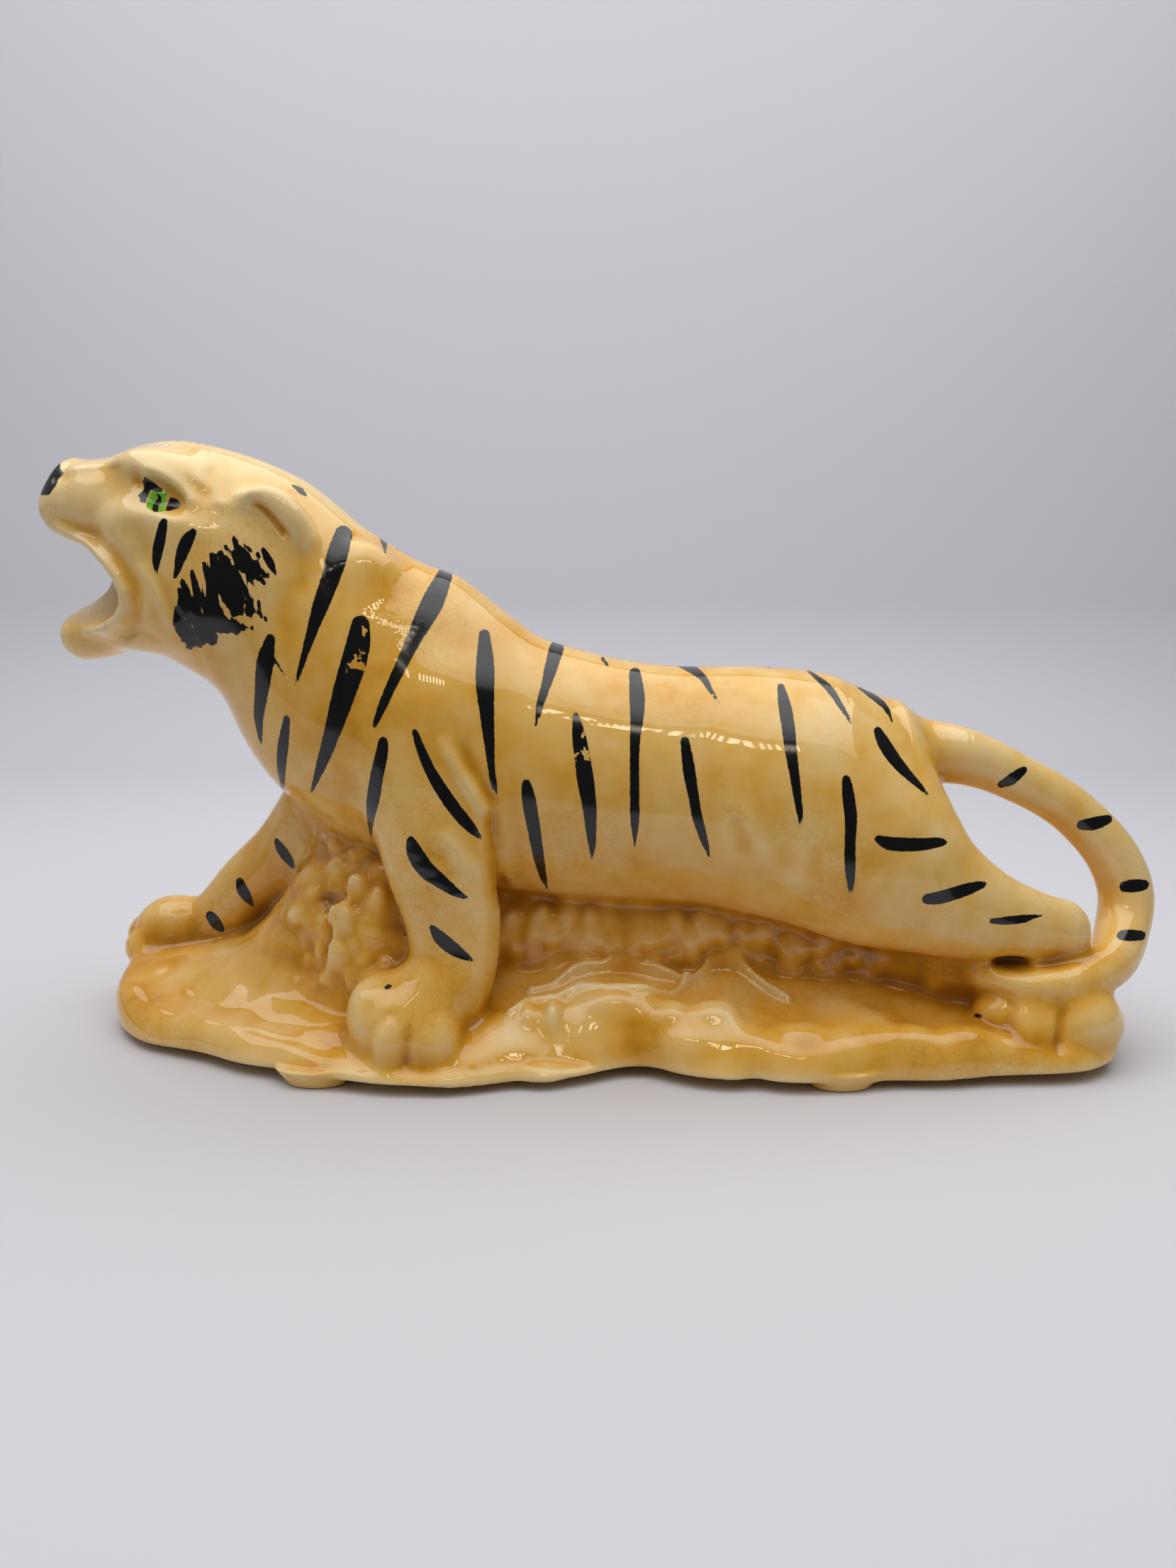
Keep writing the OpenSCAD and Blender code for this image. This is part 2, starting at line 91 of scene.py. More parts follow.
# %% Joints
def melt(a, b, width):
    """Smooth minimum: the smaller of two distances, rounded where they differ by less than width."""
    share = np.clip(0.5 + 0.5 * (b - a) / width, 0, 1)
    return b + (a - b) * share - width * share * (1 - share)


def press_on(name, low, high, shape, width):
    """Adds a lump to the clay with a joint of that width, and keeps which section is nearest."""
    if name not in sections:
        sections.append(name)
    cut, x, y, z = window(low, high)
    d = shape(x, y, z).astype(np.float32)
    clay[cut] = melt(clay[cut], d, width)
    owner[cut] = np.where(d < nearest[cut], sections.index(name), owner[cut])
    nearest[cut] = np.minimum(nearest[cut], d)


def cut_out(low, high, shape, width):
    """Takes a hollow out of the clay: the larger of the clay's distance and minus the hollow's."""
    cut, x, y, z = window(low, high)
    clay[cut] = -melt(-clay[cut], shape(x, y, z).astype(np.float32), width)


print("equal distances of 1 mm and a joint of 4 mm melt to", melt(1.0, 1.0, 4.0), "mm")

# %% [markdown]
# ## Eggs and limbs
# Nearly all of the figure is made from two kinds of lump: an egg, and a limb that is a chain of tapered rods
# along a smooth curve. Both give a distance that is exact enough near the skin to be melted and offset.

# %% Eggs and limbs
def curve(stations, knots):
    """Smooth rows through stations: cubic pieces whose slope at a station is half its neighbours' step."""
    s = np.asarray(stations, float)
    s = np.vstack([s[:1], s, s[-1:]])
    t = np.linspace(0, 1, knots, endpoint=False)[:, None]
    parts = [0.5 * (2 * b + (c - a) * t + (2 * a - 5 * b + 4 * c - d) * t ** 2
                    + (3 * b - a - 3 * c + d) * t ** 3) for a, b, c, d in zip(s, s[1:], s[2:], s[3:])]
    return np.vstack(parts + [s[-1:]])


def egg(x, y, z, centre, radii, lean=0.0):
    """Distance to an ellipsoid, about k0 (k0 - 1) / k1 with k0 the scaled radius; lean turns it about Y."""
    c, s = np.cos(lean), np.sin(lean)
    u, w = x - centre[0], z - centre[2]
    u, w, v = u * c + w * s, w * c - u * s, y - centre[1]
    k0 = np.sqrt((u / radii[0]) ** 2 + (v / radii[1]) ** 2 + (w / radii[2]) ** 2)
    k1 = np.sqrt((u / radii[0] ** 2) ** 2 + (v / radii[1] ** 2) ** 2 + (w / radii[2] ** 2) ** 2)
    return k0 * (k0 - 1) / np.maximum(k1, 1e-3)


def limb(x, y, z, run, thin=1.0):
    """Distance to a chain of tapered rods: the least over the rods of the distance to the axis minus
    the radius there, with the sideways distance stretched by one over thin."""
    best = None
    for a, b in zip(run[:-1], run[1:]):
        e = b - a
        t = np.clip(((x - a[0]) * e[0] + (y - a[1]) * e[1] + (z - a[2]) * e[2])
                    / (e[:3] @ e[:3] + tiny), 0, 1)
        d = np.sqrt((x - a[0] - t * e[0]) ** 2 + ((y - a[1] - t * e[1]) / thin) ** 2
                    + (z - a[2] - t * e[2]) ** 2) - a[3] - t * e[3]
        best = d if best is None else np.minimum(best, d)
    return best


def press_limb(name, stations, width, thin=1.0, knots=5):
    """A limb along a smooth curve, added to the clay."""
    run = curve(stations, knots).astype(np.float32)
    reach = run[:, 3:4]
    press_on(name, (run[:, :3] - reach).min(0), (run[:, :3] + reach).max(0),
             lambda x, y, z: limb(x, y, z, run, thin), width)


def press_egg(name, centre, radii, width, lean=0.0):
    """An ellipsoid added to the clay."""
    size = np.full(3, max(radii)) if lean else np.array(radii)
    press_on(name, np.array(centre) - size, np.array(centre) + size,
             lambda x, y, z: egg(x, y, z, centre, radii, lean), width)


print("1 mm off the end of an egg the field says %.2f mm" % egg(6.0, 0.0, 0.0, (0, 0, 0), (5, 3, 3)))

# %% [markdown]
# ## Body and head
# The casting of the body is a bag of elliptical sections strung along one spine, from the rump over the
# back and up the neck to the nose. The field follows the same stations as the CAD sections. In the plane
# of the spine the nearest spine point gives the section, and the sideways distance comes on top.

# %% Spine
spine = [  # x, z, half width, half height
    [101, 93, 21, 25], [80, 89, 32, 37], [50, 87, 36, 41.5], [16, 88, 35.5, 41], [-16, 92, 36, 42.5],
    [-46, 100, 37, 45], [-80, 121.5, 35, 47.4], [-104, 145, 31, 37.6], [-124, 163, 31, 35.2],
    [-147, 178, 26, 26.6], [-166, 183.5, 19, 14.5], [-175, 184.8, 15.5, 11.5]]
neck_at = 7  # the station of the neck seam
spine_knots = 12
seam_slope = 2.0  # millimetres of distance for each knot past the neck seam
end_reach = 9.0  # over which the ends are rounded off


def sweep(x, y, z, run, reach):
    """Distance to elliptical sections strung on a curve in the X-Z plane. The ends are rounded off over
    reach. Returns the distance, and the place along the run."""
    px, pz = np.broadcast_arrays(x[:, 0, :], z[:, 0, :])
    best = np.full(px.shape, 1e9, np.float32)
    at, along = np.zeros_like(best), np.zeros_like(best)
    for n, (a, b) in enumerate(zip(run[:-1], run[1:])):
        ex, ez = b[0] - a[0], b[1] - a[1]
        size = np.hypot(ex, ez)
        raw = ((px - a[0]) * ex + (pz - a[1]) * ez) / size ** 2
        t = np.clip(raw, 0, 1)
        d = (px - a[0] - t * ex) ** 2 + (pz - a[1] - t * ez) ** 2
        close = d < best
        best, at = np.where(close, d, best), np.where(close, n + t, at)
        over = np.maximum(raw - 1, 0) * (n == len(run) - 2) + np.maximum(-raw, 0) * (n == 0)
        along = np.where(close, over * size, along)
    wide = np.interp(at, np.arange(len(run)), run[:, 2])[:, None, :]
    tall = np.interp(at, np.arange(len(run)), run[:, 3])[:, None, :]
    up, on, side = np.sqrt(np.maximum(best - along ** 2, 0))[:, None, :], along[:, None, :], y - mid_y
    k0 = np.sqrt((side / wide) ** 2 + (up / tall) ** 2 + (on / reach) ** 2)
    k1 = np.sqrt((side / wide ** 2) ** 2 + (up / tall ** 2) ** 2 + (on / reach ** 2) ** 2)
    return k0 * (k0 - 1) / np.maximum(k1, 1e-3), at[:, None, :]


def side_of_neck(head):
    """The part of the body on one side of the neck seam, as a shape for the clay."""
    seam = neck_at * spine_knots

    def shape(x, y, z):
        d, at = sweep(x, y, z, curve(spine, spine_knots), end_reach)
        inside = at >= seam if head else at < seam
        beyond = np.abs(at - seam) * seam_slope
        return np.where(inside, d, np.maximum(d, beyond))
    return shape


half_body = 38.0
press_on("torso", (-128, mid_y - half_body, 40), (122, mid_y + half_body, 190), side_of_neck(False), 0.5)
press_on("head", (-192, mid_y - half_body, 110), (-88, mid_y + half_body, 206), side_of_neck(True), 0.5)
print("body and head on the spine")

# %% [markdown]
# ## Lines and folds
# Wrinkles, creases and thin ridges are drawn with a tool into the soft clay. Here a line in the side view is
# enough: the field rises or sinks along it by a bell, on one side of the figure or on both. The signed
# distance to an outline, used for the mouth and the base, comes from the same distance to a line.

# %% Lines and folds
fold_from = 8.0  # distance from the middle plane at which a fold begins


def gauss(v, width):
    """Bell of height one."""
    return np.exp(-(v / width) ** 2)


def to_line(u, v, points):
    """Distance in a plane to a chain of straight lines."""
    best = None
    for a, b in zip(points[:-1], points[1:]):
        e = b - a
        t = np.clip(((u - a[0]) * e[0] + (v - a[1]) * e[1]) / (e @ e + tiny), 0, 1)
        d = (u - a[0] - t * e[0]) ** 2 + (v - a[1] - t * e[1]) ** 2
        best = d if best is None else np.minimum(best, d)
    return np.sqrt(best)


def inside_line(u, v, points):
    """Signed distance in a plane to a closed outline, below zero inside by the even-odd rule."""
    ring = np.vstack([points, points[:1]])
    odd = np.zeros(np.broadcast(u, v).shape, bool)
    for a, b in zip(ring[:-1], ring[1:]):
        rise = b[1] - a[1] if b[1] != a[1] else tiny
        odd ^= ((a[1] > v) != (b[1] > v)) & (u < a[0] + (v - a[1]) * (b[0] - a[0]) / rise)
    return np.where(odd, -1, 1) * to_line(u, v, ring)


def fold(lines, side=0):
    """Folds drawn on the sides of the clay: depth times a bell of the distance to a line in the X-Z plane,
    faded at the line's ends and near the middle plane. A depth below zero is a ridge. Side -1 is the photo's
    side, 1 the far side and 0 both."""
    for depth, width, points in lines:
        run = curve(points, 4)
        low, high = run.min(0), run.max(0)
        cut, x, y, z = window((low[0], -half_depth, low[1]), (high[0], half_depth, high[1]), 3 * width)
        out = np.abs(y - mid_y) if side == 0 else (y - mid_y) * side
        bell = 0.0
        for n, (a, b) in enumerate(zip(run[:-1], run[1:])):
            e = b - a
            t = np.clip(((x - a[0]) * e[0] + (z - a[1]) * e[1]) / (e @ e + tiny), 0, 1)
            share = (n + t) / (len(run) - 1)
            near = gauss(np.hypot(x - a[0] - t * e[0], z - a[1] - t * e[1]), width)
            bell = np.maximum(bell, near * np.minimum(1, 6 * share * (1 - share) + 0.1))
        outside = np.clip((out - fold_from) / fold_from, 0, 1)
        clay[cut] += (depth * bell * outside).astype(np.float32)


unit_square = np.array([[0, 0], [1, 0], [1, 1], [0, 1]], float)
middle = np.array(0.5)
print("signed distance in the middle of a unit square:", inside_line(middle, middle, unit_square))

# %% [markdown]
# ## Face
# The head leaves a two-part mould, so everything on it can be drawn out sideways: whisker pads, cheeks,
# brow ridges over the eyes, and an open mouth whose floor rises to a ridge on the middle plane. The lips
# are a soft roll round the mouth, with a crease behind it.

# %% Jaw, cheeks and brows
face = [  # name, x, out, z, radii x y z, joint, lean
    ("head", -165.5, 9.5, 180.5, 19, 10.5, 12.5, 6, -0.05),  # whisker pad
    ("head", -176.5, 3, 190.5, 6, 8, 5, 4, 0.3),  # nose
    ("head", -153, 14, 169, 15, 9.5, 10, 7, 0.7),  # corner of the upper lip
    ("head", -139, 20, 160, 19, 11, 21, 9, 0.5),  # cheek
    ("head", -141, 17.5, 191.5, 14, 9, 6.5, 6, -0.3),  # brow
    ("head", -143, 22, 174, 15, 7.5, 6, 8, -0.25),  # cheekbone
    ("lower_jaw", -148, 12, 150, 20, 12, 13, 8, 0.45),  # corner of the jaw
    ("torso", -79, 17, 160, 9, 6, 9, 8, 0.4)]  # ruff behind the ear
press_limb("lower_jaw", [[-130, mid_y, 150, 24], [-145, mid_y, 149.5, 16.0], [-157, mid_y, 147.5, 10.8],
                         [-168, mid_y, 142, 9.8], [-176, mid_y, 139.3, 8.4]], 6, 1.25)
for name, x, out, z, rx, ry, rz, width, lean in face:
    for side in (-1, 1):
        press_egg(name, (x, mid_y + side * out, z), (rx, ry, rz), width, lean)
print("jaw and", len(face), "forms on each side of the face")

# %% Mouth
lip_near = np.array([[-215, 176], [-185, 173.5], [-177, 171], [-169.5, 168.3], [-165.5, 166], [-161, 162.5],
                     [-157.5, 158.6], [-155.6, 154.5], [-156, 150.6], [-158.5, 147.6], [-163.5, 144.8],
                     [-170, 143.5], [-178, 143.2], [-190, 144], [-215, 146]])
lip_middle = np.array([[-215, 176], [-185, 173.5], [-177, 171.5], [-171, 169], [-167.4, 166.6], [-166.2, 164],
                       [-167.2, 161.2], [-168.8, 158.6], [-171, 155.8], [-173.6, 153.2], [-177, 150.6],
                       [-180, 148.6], [-183, 147.2], [-190, 146.5], [-215, 147]])


def mouth(x, y, z):
    """The mouth's hollow: the lips' outline at the side, drawn in to a ridge on the middle plane, with a
    channel just inside the lips."""
    out = np.abs(y - mid_y)
    share = np.clip((out / 15.0) ** 2, 0, 1)
    edge, ridge = inside_line(x, z, lip_near), inside_line(x, z, lip_middle)
    return ridge + (edge - ridge) * share - 2.6 * gauss(out - 11.5, 3.0) * np.clip((x + 178) / 8, 0, 1)


def nose_bevel(x, y, z):
    """Signed distance to the flat front of the nose: a plane through a point, square to a direction."""
    return 0.896 * (x + 185.2) - 0.445 * (z - 182.4) + 0 * y


mouth_low, mouth_high = (-200, mid_y - 40, 126), (-132, mid_y + 40, 200)
cut, x, y, z = window(mouth_low, mouth_high, 0)
gape = inside_line(x, z, lip_near)
outer = np.clip((np.abs(y - mid_y) - fold_from) / fold_from, 0, 1) * np.clip((x + 182) / 12, 0, 1)
lip_roll = 1.6 * gauss(gape - 2.2, 1.9)
lip_crease = 1.3 * gauss(gape - 7.0, 2.6)
clay[cut] += (outer * (lip_crease - lip_roll)).astype(np.float32)
cut_out(mouth_low, mouth_high, mouth, 1.6)
cut_out((-200, mid_y - 30, 176), (-170, mid_y + 30, 206), nose_bevel, 2.0)
print("mouth opens %.0f mm at the lips" % np.ptp(lip_near[3:12, 1]))

# %% Eyes and folds of the face
socket_radii = (9.0, 6.0, 4.6)
for side in (-1, 1):
    socket = (-139.5, mid_y + side * 31.0, 185.0)
    cut_out(np.array(socket) - max(socket_radii), np.array(socket) + max(socket_radii),
            lambda x, y, z: egg(x, y, z, socket, socket_radii, -0.6), 3.0)
    press_egg("head", (-141.2, mid_y + side * 21.8, 183.2), (4.8, 4.4, 4.6), 1.5)
face_folds = [  # depth, width, points in x and z
    (-1.3, 2.2, [[-147, 193], [-140.9, 191.6], [-135.3, 188.5], [-131.2, 184.2], [-129.9, 181.4]]),
    (0.4, 1.5, [[-145.5, 189.2], [-139.7, 187.9], [-134.9, 184.4], [-132.9, 181.6]]),
    (1.5, 1.8, [[-147.8, 191.4], [-147.4, 187.8]]),
    (0.9, 1.8, [[-126.4, 192.6], [-126, 187.7], [-124.4, 183.5]]),
    (-0.8, 2.0, [[-129.1, 191.2], [-123, 183.5], [-120.2, 181.3]]),
    (-0.6, 3.0, [[-152, 180.2], [-140.1, 177.6], [-131.4, 175.6], [-122.9, 172]]),
    (0.9, 4.0, [[-153, 174.9], [-145.9, 171.3], [-144.8, 165.5]]),
    (-0.9, 2.2, [[-145.8, 162.7], [-141.8, 155.4], [-139.3, 148], [-138.9, 142.1]]),
    (0.6, 2.0, [[-142.3, 162.2], [-138.6, 153.9], [-136, 147]]),
    (0.7, 2.0, [[-158, 139.4], [-150, 142.5], [-144.1, 139.6]]),
    (-0.9, 1.8, [[-174, 193.0], [-162.7, 194.2], [-152.9, 195.3]]),
    (-0.6, 2.4, [[-177.6, 175], [-172.6, 171.8], [-165.2, 170]]),
    (0.8, 2.0, [[-177.5, 189.6], [-172.8, 190.6]]), (1.0, 2.2, [[-178, 139.5], [-172, 137]])]
fold(face_folds)
print("eyes and", len(face_folds), "folds on the face")

# %% [markdown]
# ## Ears
# Each ear is a small shell laid back against the neck. Its hollow faces forwards and down, so that the
# mould still comes off sideways.

# %% Ears
for name, side in (("left_ear", -1), ("right_ear", 1)):
    out = mid_y + side * 25.6
    press_limb(name, [[-113, out, 183.6, 1.7], [-108.4, out, 184.2, 3.3], [-103.6, out, 181.8, 4.2],
                      [-99.6, out, 177.2, 4.0], [-97.2, out - side, 172, 2.2]], 8)
fold([  # the hollow's edge, the hollow, and the crease between cheek and neck
      (1.5, 1.5, [[-113, 182.6], [-109.4, 181.6], [-106, 178.4], [-102.8, 174.4], [-100.4, 171.2]]),
      (0.4, 3.0, [[-111, 179], [-107.6, 175.6], [-104.6, 171.4]]),
      (1.0, 4.0, [[-95, 160], [-100.3, 154.5], [-102.1, 148.3], [-101.7, 141]])])
print("ears laid back")

# %% [markdown]
# ## Legs and paws
# The legs are cast apart and luted to the body, and the thumb-wide joint at the shoulder and the haunch
# is smoothed away. The paws get round toes with a groove between them, and they stand on the rock.

# %% Legs
legs = [  # name, joint, thinness sideways, stations of x, y, z and radius
    ("left_foreleg", 9, 0.85,
     [[-60, -35, 112, 24], [-58, -40, 90, 21.5], [-55, -44, 70, 19], [-51.5, -46, 48, 15.5],
      [-52, -48, 34, 14.5], [-58, -53, 24, 14], [-64, -57, 18, 13]]),
    ("right_foreleg", 9, 1.0,
     [[-80, 2, 106, 22], [-92, 6, 90, 19], [-105, 9, 73, 15.5], [-118, 13, 57, 14],
      [-132, 16, 43.4, 13.8], [-149, 18, 28.4, 11.6], [-165, 18, 24.4, 12]]),
    ("left_hind_leg", 14, 0.72,
     [[62, -32, 80, 33], [84, -37, 69, 30.5], [103, -40, 58, 22], [121, -42, 50, 16],
      [138, -42, 45.3, 12.4], [147.5, -41, 43, 11.6]]),
    ("right_hind_leg", 12, 0.8,
     [[74, 3, 82, 28], [93, 10, 60, 20], [105, 14, 42, 14], [115, 16, 33, 11], [127, 17, 29, 9.5]])]
for name, joint, thin, stations in legs:
    press_limb(name, stations, joint, thin)
print(len(legs), "legs")

# %% Paws
toes = [  # name, x, y, z, radii x y z, joint
    ("left_foreleg", -66, -57, 18, 15, 11.5, 11.5, 6), ("left_foreleg", -74, -50.5, 23.5, 9.5, 9, 8.6, 8),
    ("left_foreleg", -50.5, -49, 27, 9, 9, 14, 6),
    ("left_foreleg", -70.2, -64.5, 14, 7.4, 8, 9.4, 5.5), ("left_foreleg", -57, -64, 13.6, 9, 8, 9, 5.5),
    ("left_foreleg", -79, -58, 19, 5.4, 7.5, 11, 6),
    ("right_foreleg", -171, 10.5, 21, 9.5, 6.6, 8.0, 2.4),
    ("right_foreleg", -173, 19.5, 23, 9.5, 6.6, 8.6, 2.4), ("right_foreleg", -170, 28, 21, 9, 6.2, 7.6, 2.4),
    ("right_foreleg", -164, 18, 28.4, 12.5, 12, 9.6, 4),
    ("right_hind_leg", 131, 12, 26.5, 7, 5, 6, 2.2), ("right_hind_leg", 133, 19, 27, 7, 5, 6, 2.2),
]
for name, x, y, z, rx, ry, rz, width in toes:
    press_egg(name, (x, y, z), (rx, ry, rz), width)
fold([  # elbow and shoulder, haunch, and the creases between the near toes
      (1.5, 2.4, [[-38.3, 88.8], [-37.4, 76.5], [-37.1, 65.7], [-35.8, 53.1]]),
      (-1.4, 2.6, [[-53.1, 110.6], [-47.4, 100.2], [-41.7, 90.4], [-39.6, 85.1]]),
      (1.2, 2.2, [[-48, 109.1], [-43.7, 100.2], [-39.4, 92.7], [-38, 89.7]]),
      (-0.9, 2.6, [[-52.6, 80.7], [-46.8, 73.2], [-43.9, 67.8]]),
      (0.8, 2.6, [[-56, 76], [-52, 71], [-50.6, 66]]),
      (0.9, 2.6, [[39.4, 83.8], [40.2, 79.3], [42.5, 72.7]]),
      (-0.9, 3.6, [[38.4, 92], [45.8, 78.8], [51.9, 68.5], [59.3, 61.7]]),
      (0.7, 2.6, [[64.2, 77.1], [64.6, 66]]), (0.5, 4.0, [[80.3, 69.7], [87.3, 72.7], [103.5, 79.3]]),
      (0.8, 1.5, [[-67, 24.5], [-71, 23.8], [-74.6, 19.5], [-76, 14], [-75.4, 8]]),
      (1.0, 1.5, [[-63.7, 20.6], [-64.4, 14], [-64.7, 8]])], -1)
print(len(toes), "toes and knuckles")

# %% [markdown]
# ## Tail
# The tail is a rolled rod that loops down from the rump and comes forwards round the heel.

# %% Tail
tail_run = [[94, -15, 100.5, 12], [115, -15, 98.9, 10.4], [128, -15, 95.6, 9.2], [140, -15, 90.3, 8.4],
            [153, -15, 83.5, 8.2], [163.5, -15.5, 75.6, 8.3], [174, -16.5, 64, 8.8], [179.6, -18, 51, 9.2],
            [177, -24, 39.5, 9.0], [167.5, -38, 31.5, 8.2], [151, -50, 28.7, 6.4], [137, -52, 28.4, 5.0],
            [124, -45, 28.8, 4.2]]
press_limb("tail", tail_run, 5)
print("tail of", len(tail_run), "stations")

# %% [markdown]
# ## Rock base
# The base is a shallow hollow rock. Its top is a height over the plan: low shelves at both ends, and a
# ledge between them that falls from the foot of the bank to an uneven crest and then over the front.

# %% Outline and crest of the base
edge_points = np.array([  # the lower edge in plan, from the head end along the photo's side and round
    [-176, 0], [-173, -19], [-160.5, -35], [-147.5, -43], [-134.3, -49], [-125.5, -54], [-115, -60.4],
    [-105.6, -64], [-95, -68.5], [-83.8, -72], [-70.5, -76], [-56.6, -76.5], [-44, -74], [-31.8, -71],
    [-16, -70.5], [-6, -65.5], [3, -61.5], [10, -60.5], [16, -62.5], [24, -68], [36, -73], [45, -70.5],
    [55, -73], [83, -70], [115.6, -67.5], [143, -65.5], [157, -62], [166, -51], [168.5, -30], [169, 0],
    [168, 32], [161, 58], [130, 72], [60, 77.5], [-30, 77.5], [-100, 73], [-140, 60], [-167, 34]], float)
outline = curve(np.vstack([edge_points[-2:], edge_points, edge_points[:2]]), 4)[8:-5]
crest = curve([  # x, y of the crest, height of the crest, height at the bank's foot
    [-190, -46, 12, 22], [-160, -46, 11, 21.5], [-135, -48, 11.5, 19], [-110, -50, 12, 17],
    [-80, -52, 13, 17], [-56, -53, 13.5, 18], [-45, -54, 17, 22], [-35, -50, 19.5, 25], [-26, -48, 21, 26],
    [-17, -46, 22.5, 28], [-9, -46, 25.5, 28.5], [4, -46, 26, 28.5], [11, -47, 25, 28.5],
    [18, -51, 22, 28], [28, -53, 21, 27], [38, -54, 22, 28.5], [44, -57, 19, 28], [54, -60, 17, 26],
    [68, -60, 17.5, 25], [86, -60, 19, 24.5], [94, -61, 17.5, 24], [112, -60, 17, 23], [132, -58, 15, 20],
    [160, -50, 14, 16], [190, -46, 13, 14]], 6)
ridges = [np.array(r, float) for r in (  # sharp lips on the ledge, x and y
    [[-27, -39.5], [-20, -38.5], [-12.9, -33.8], [-3.2, -32.4], [7.3, -31], [21, -32.6], [25.9, -36.5],
     [31, -33], [34.3, -30], [43.9, -31], [54, -37], [59.5, -41]],
    [[-33, -54], [-27, -49.4], [-18.8, -49], [-10.8, -45], [-0.5, -48.2], [10.8, -48], [20.2, -44.6],
     [26, -36]])]


def plan_edge(x, y):
    """Signed distance in plan to the base's lower edge."""
    return inside_line(x, y, outline)


print("base, top from %.0f to %.0f mm" % (crest[:, 2].min(), crest[:, 3].max()))

# %% Height of the base
def ripple(x, y, z, size, seed):
    """Gentle unevenness between -1 and 1: a mean of six sine waves in seeded directions."""
    rng = np.random.default_rng(seed)
    total = 0.0
    full_turn = 6.28
    for a, b, c, phase in zip(*rng.normal(size=(3, 6)), rng.uniform(0, full_turn, 6)):
        r = np.sqrt(a * a + b * b + c * c) * size / full_turn
        total = total + np.sin((a * x + b * y + c * z) / r + phase)
    return total / 6


ridge_height, ridge_width = 2.8, 1.5
fall_depth = 18.0  # from the crest to the foot of the front, in plan
front_edge = 8.0  # height of that foot


def base_height(x, y):
    """Height of the rock's top over the plan: a dished slope from the bank's foot to the crest, a fall from
    the crest to the front edge, shelves at the ends, and a mound that rises to the chest."""
    y_c, z_c, z_f = (np.interp(x, crest[:, 0], crest[:, n]) for n in (1, 2, 3))
    foot_y = -29.0 + 31.0 * np.clip((-100 - x) / 40, 0, 1)
    back = np.clip((y - y_c) / (foot_y - y_c), 0, 1)
    dish = 2.2 * np.sin(np.pi * back) ** 2 * np.clip((x + 40) / 15, 0, 1) * np.clip((140 - x) / 25, 0, 1)
    top = z_c + (z_f - z_c) * back ** 1.3 - dish
    for r in ridges:
        top = top + ridge_height * gauss(to_line(x, y, r), ridge_width)
    fall = np.clip((y_c - y) / fall_depth, 0, 1)
    mound = 29.0 * gauss(np.hypot((x + 100) / 34.0, (y - 5) / 34.0), 1.0)
    uneven = 1.3 * ripple(x, y, 0 * x, 34, 3) + 0.8 * ripple(x, y, 0 * x, 17, 7)
    return top - (z_c - front_edge) * fall ** 1.6 + mound + uneven


def base_shape(x, y, z):
    """The rock: under its height, inside its outline with fluted sides, and above its lower edge."""
    flutes = 0.8 * np.sin(x / 2.8) * gauss(x + 18, 18) + 0.5 * np.sin(x / 6.1)
    edge = plan_edge(x, y) + 0.6 * ripple(x, y, z, 22, 5) + flutes * np.clip(-y / 40, 0, 1) - 1.2
    top = (z - base_height(x, y)) * 0.9
    under = 3.6 + 0.6 * np.sin(x / 21.0) - z
    return -melt(melt(-edge, -top, 8.0), -under + 0 * x * y, 1.5)


tried = np.linspace(-160.0, 160.0, 9)
print("heights at y = -40 mm:", base_height(tried, np.full(9, -40.0)).round(1))

# %% Base pressed on
press_on("base_plinth", (-184, -82, 0), (184, 80, 48), base_shape, 4.5)
knobs = [  # lumps along the crest: x, y, z, radii x y z
    (20, -54, 18.5, 5, 4.5, 4), (33, -54.5, 19, 6, 4.5, 4), (25, -60, 11, 8, 6, 6), (1, -49, 20, 9, 6, 6),
    (-27, -52, 16, 3.5, 5, 6), (-19, -53, 16, 3, 5, 7), (-33, -52, 13, 3.5, 5, 4), (60, -60, 14, 8, 5, 4),
    (95, -61, 13.5, 7, 5, 4)]
for x, y, z, rx, ry, rz in knobs:
    press_egg("base_plinth", (x, y, z), (rx, ry, rz), 4.0)
press_limb("base_plinth", [[9, -47, 23.5, 2.2], [10.3, -51, 18, 2.4], [15.5, -57, 11, 2.2]], 3.0)
print("base with", len(knobs), "knobs and a rib in its bay")

# %% [markdown]
# ## Bank, heap and boulders
# A bank of modelled grass and stones carries the belly, a heap of pebbles stands under the chest, and
# the tail's end lies on boulders. They were pressed from small lumps, so here too each is a chain with
# lumps set into its face, from a seeded scatter where the photo shows only texture.

# %% Bank
rng = np.random.default_rng(11)
bank = np.array([[-46, -17, 33, 15], [-34, -15, 34, 18], [4, -14, 36, 20], [46, -14, 36, 20],
                 [92, -20, 33, 19], [116, -28, 31, 16.5], [138, -38, 28, 13], [154, -38, 26, 9]], float)
bank_flat = 0.8  # its depth as a share of its height
bank_run = curve(bank, 5).astype(np.float32)
press_on("rock_bank", (-62, -46, 14), (158, 6, 58), lambda x, y, z: limb(
    x, y, z, bank_run, bank_flat) - 1.1 * ripple(x, y, 0.4 * z, 9, 21), 6)
lumps = 96
for x, up, r, tall, lean in zip(np.linspace(-36, 130, lumps) + rng.uniform(-1.5, 1.5, lumps),
                                rng.uniform(-0.75, 0.45, lumps), rng.uniform(2.2, 4.0, lumps),
                                rng.uniform(1.0, 2.4, lumps), rng.uniform(-0.5, 0.5, lumps)):
    y_b, z_b, r_b = (np.interp(x, bank[:, 0], bank[:, n]) for n in (1, 2, 3))
    face_y = y_b - bank_flat * r_b * np.sqrt(1 - up * up)
    r = r * (1 - 0.5 * np.clip((x - 50) / 40, 0, 1))
    press_egg("rock_bank", (x, face_y + 0.75 * r, z_b + up * r_b), (r, r, r * tall), 2.0, lean)
print(lumps, "lumps on the bank")

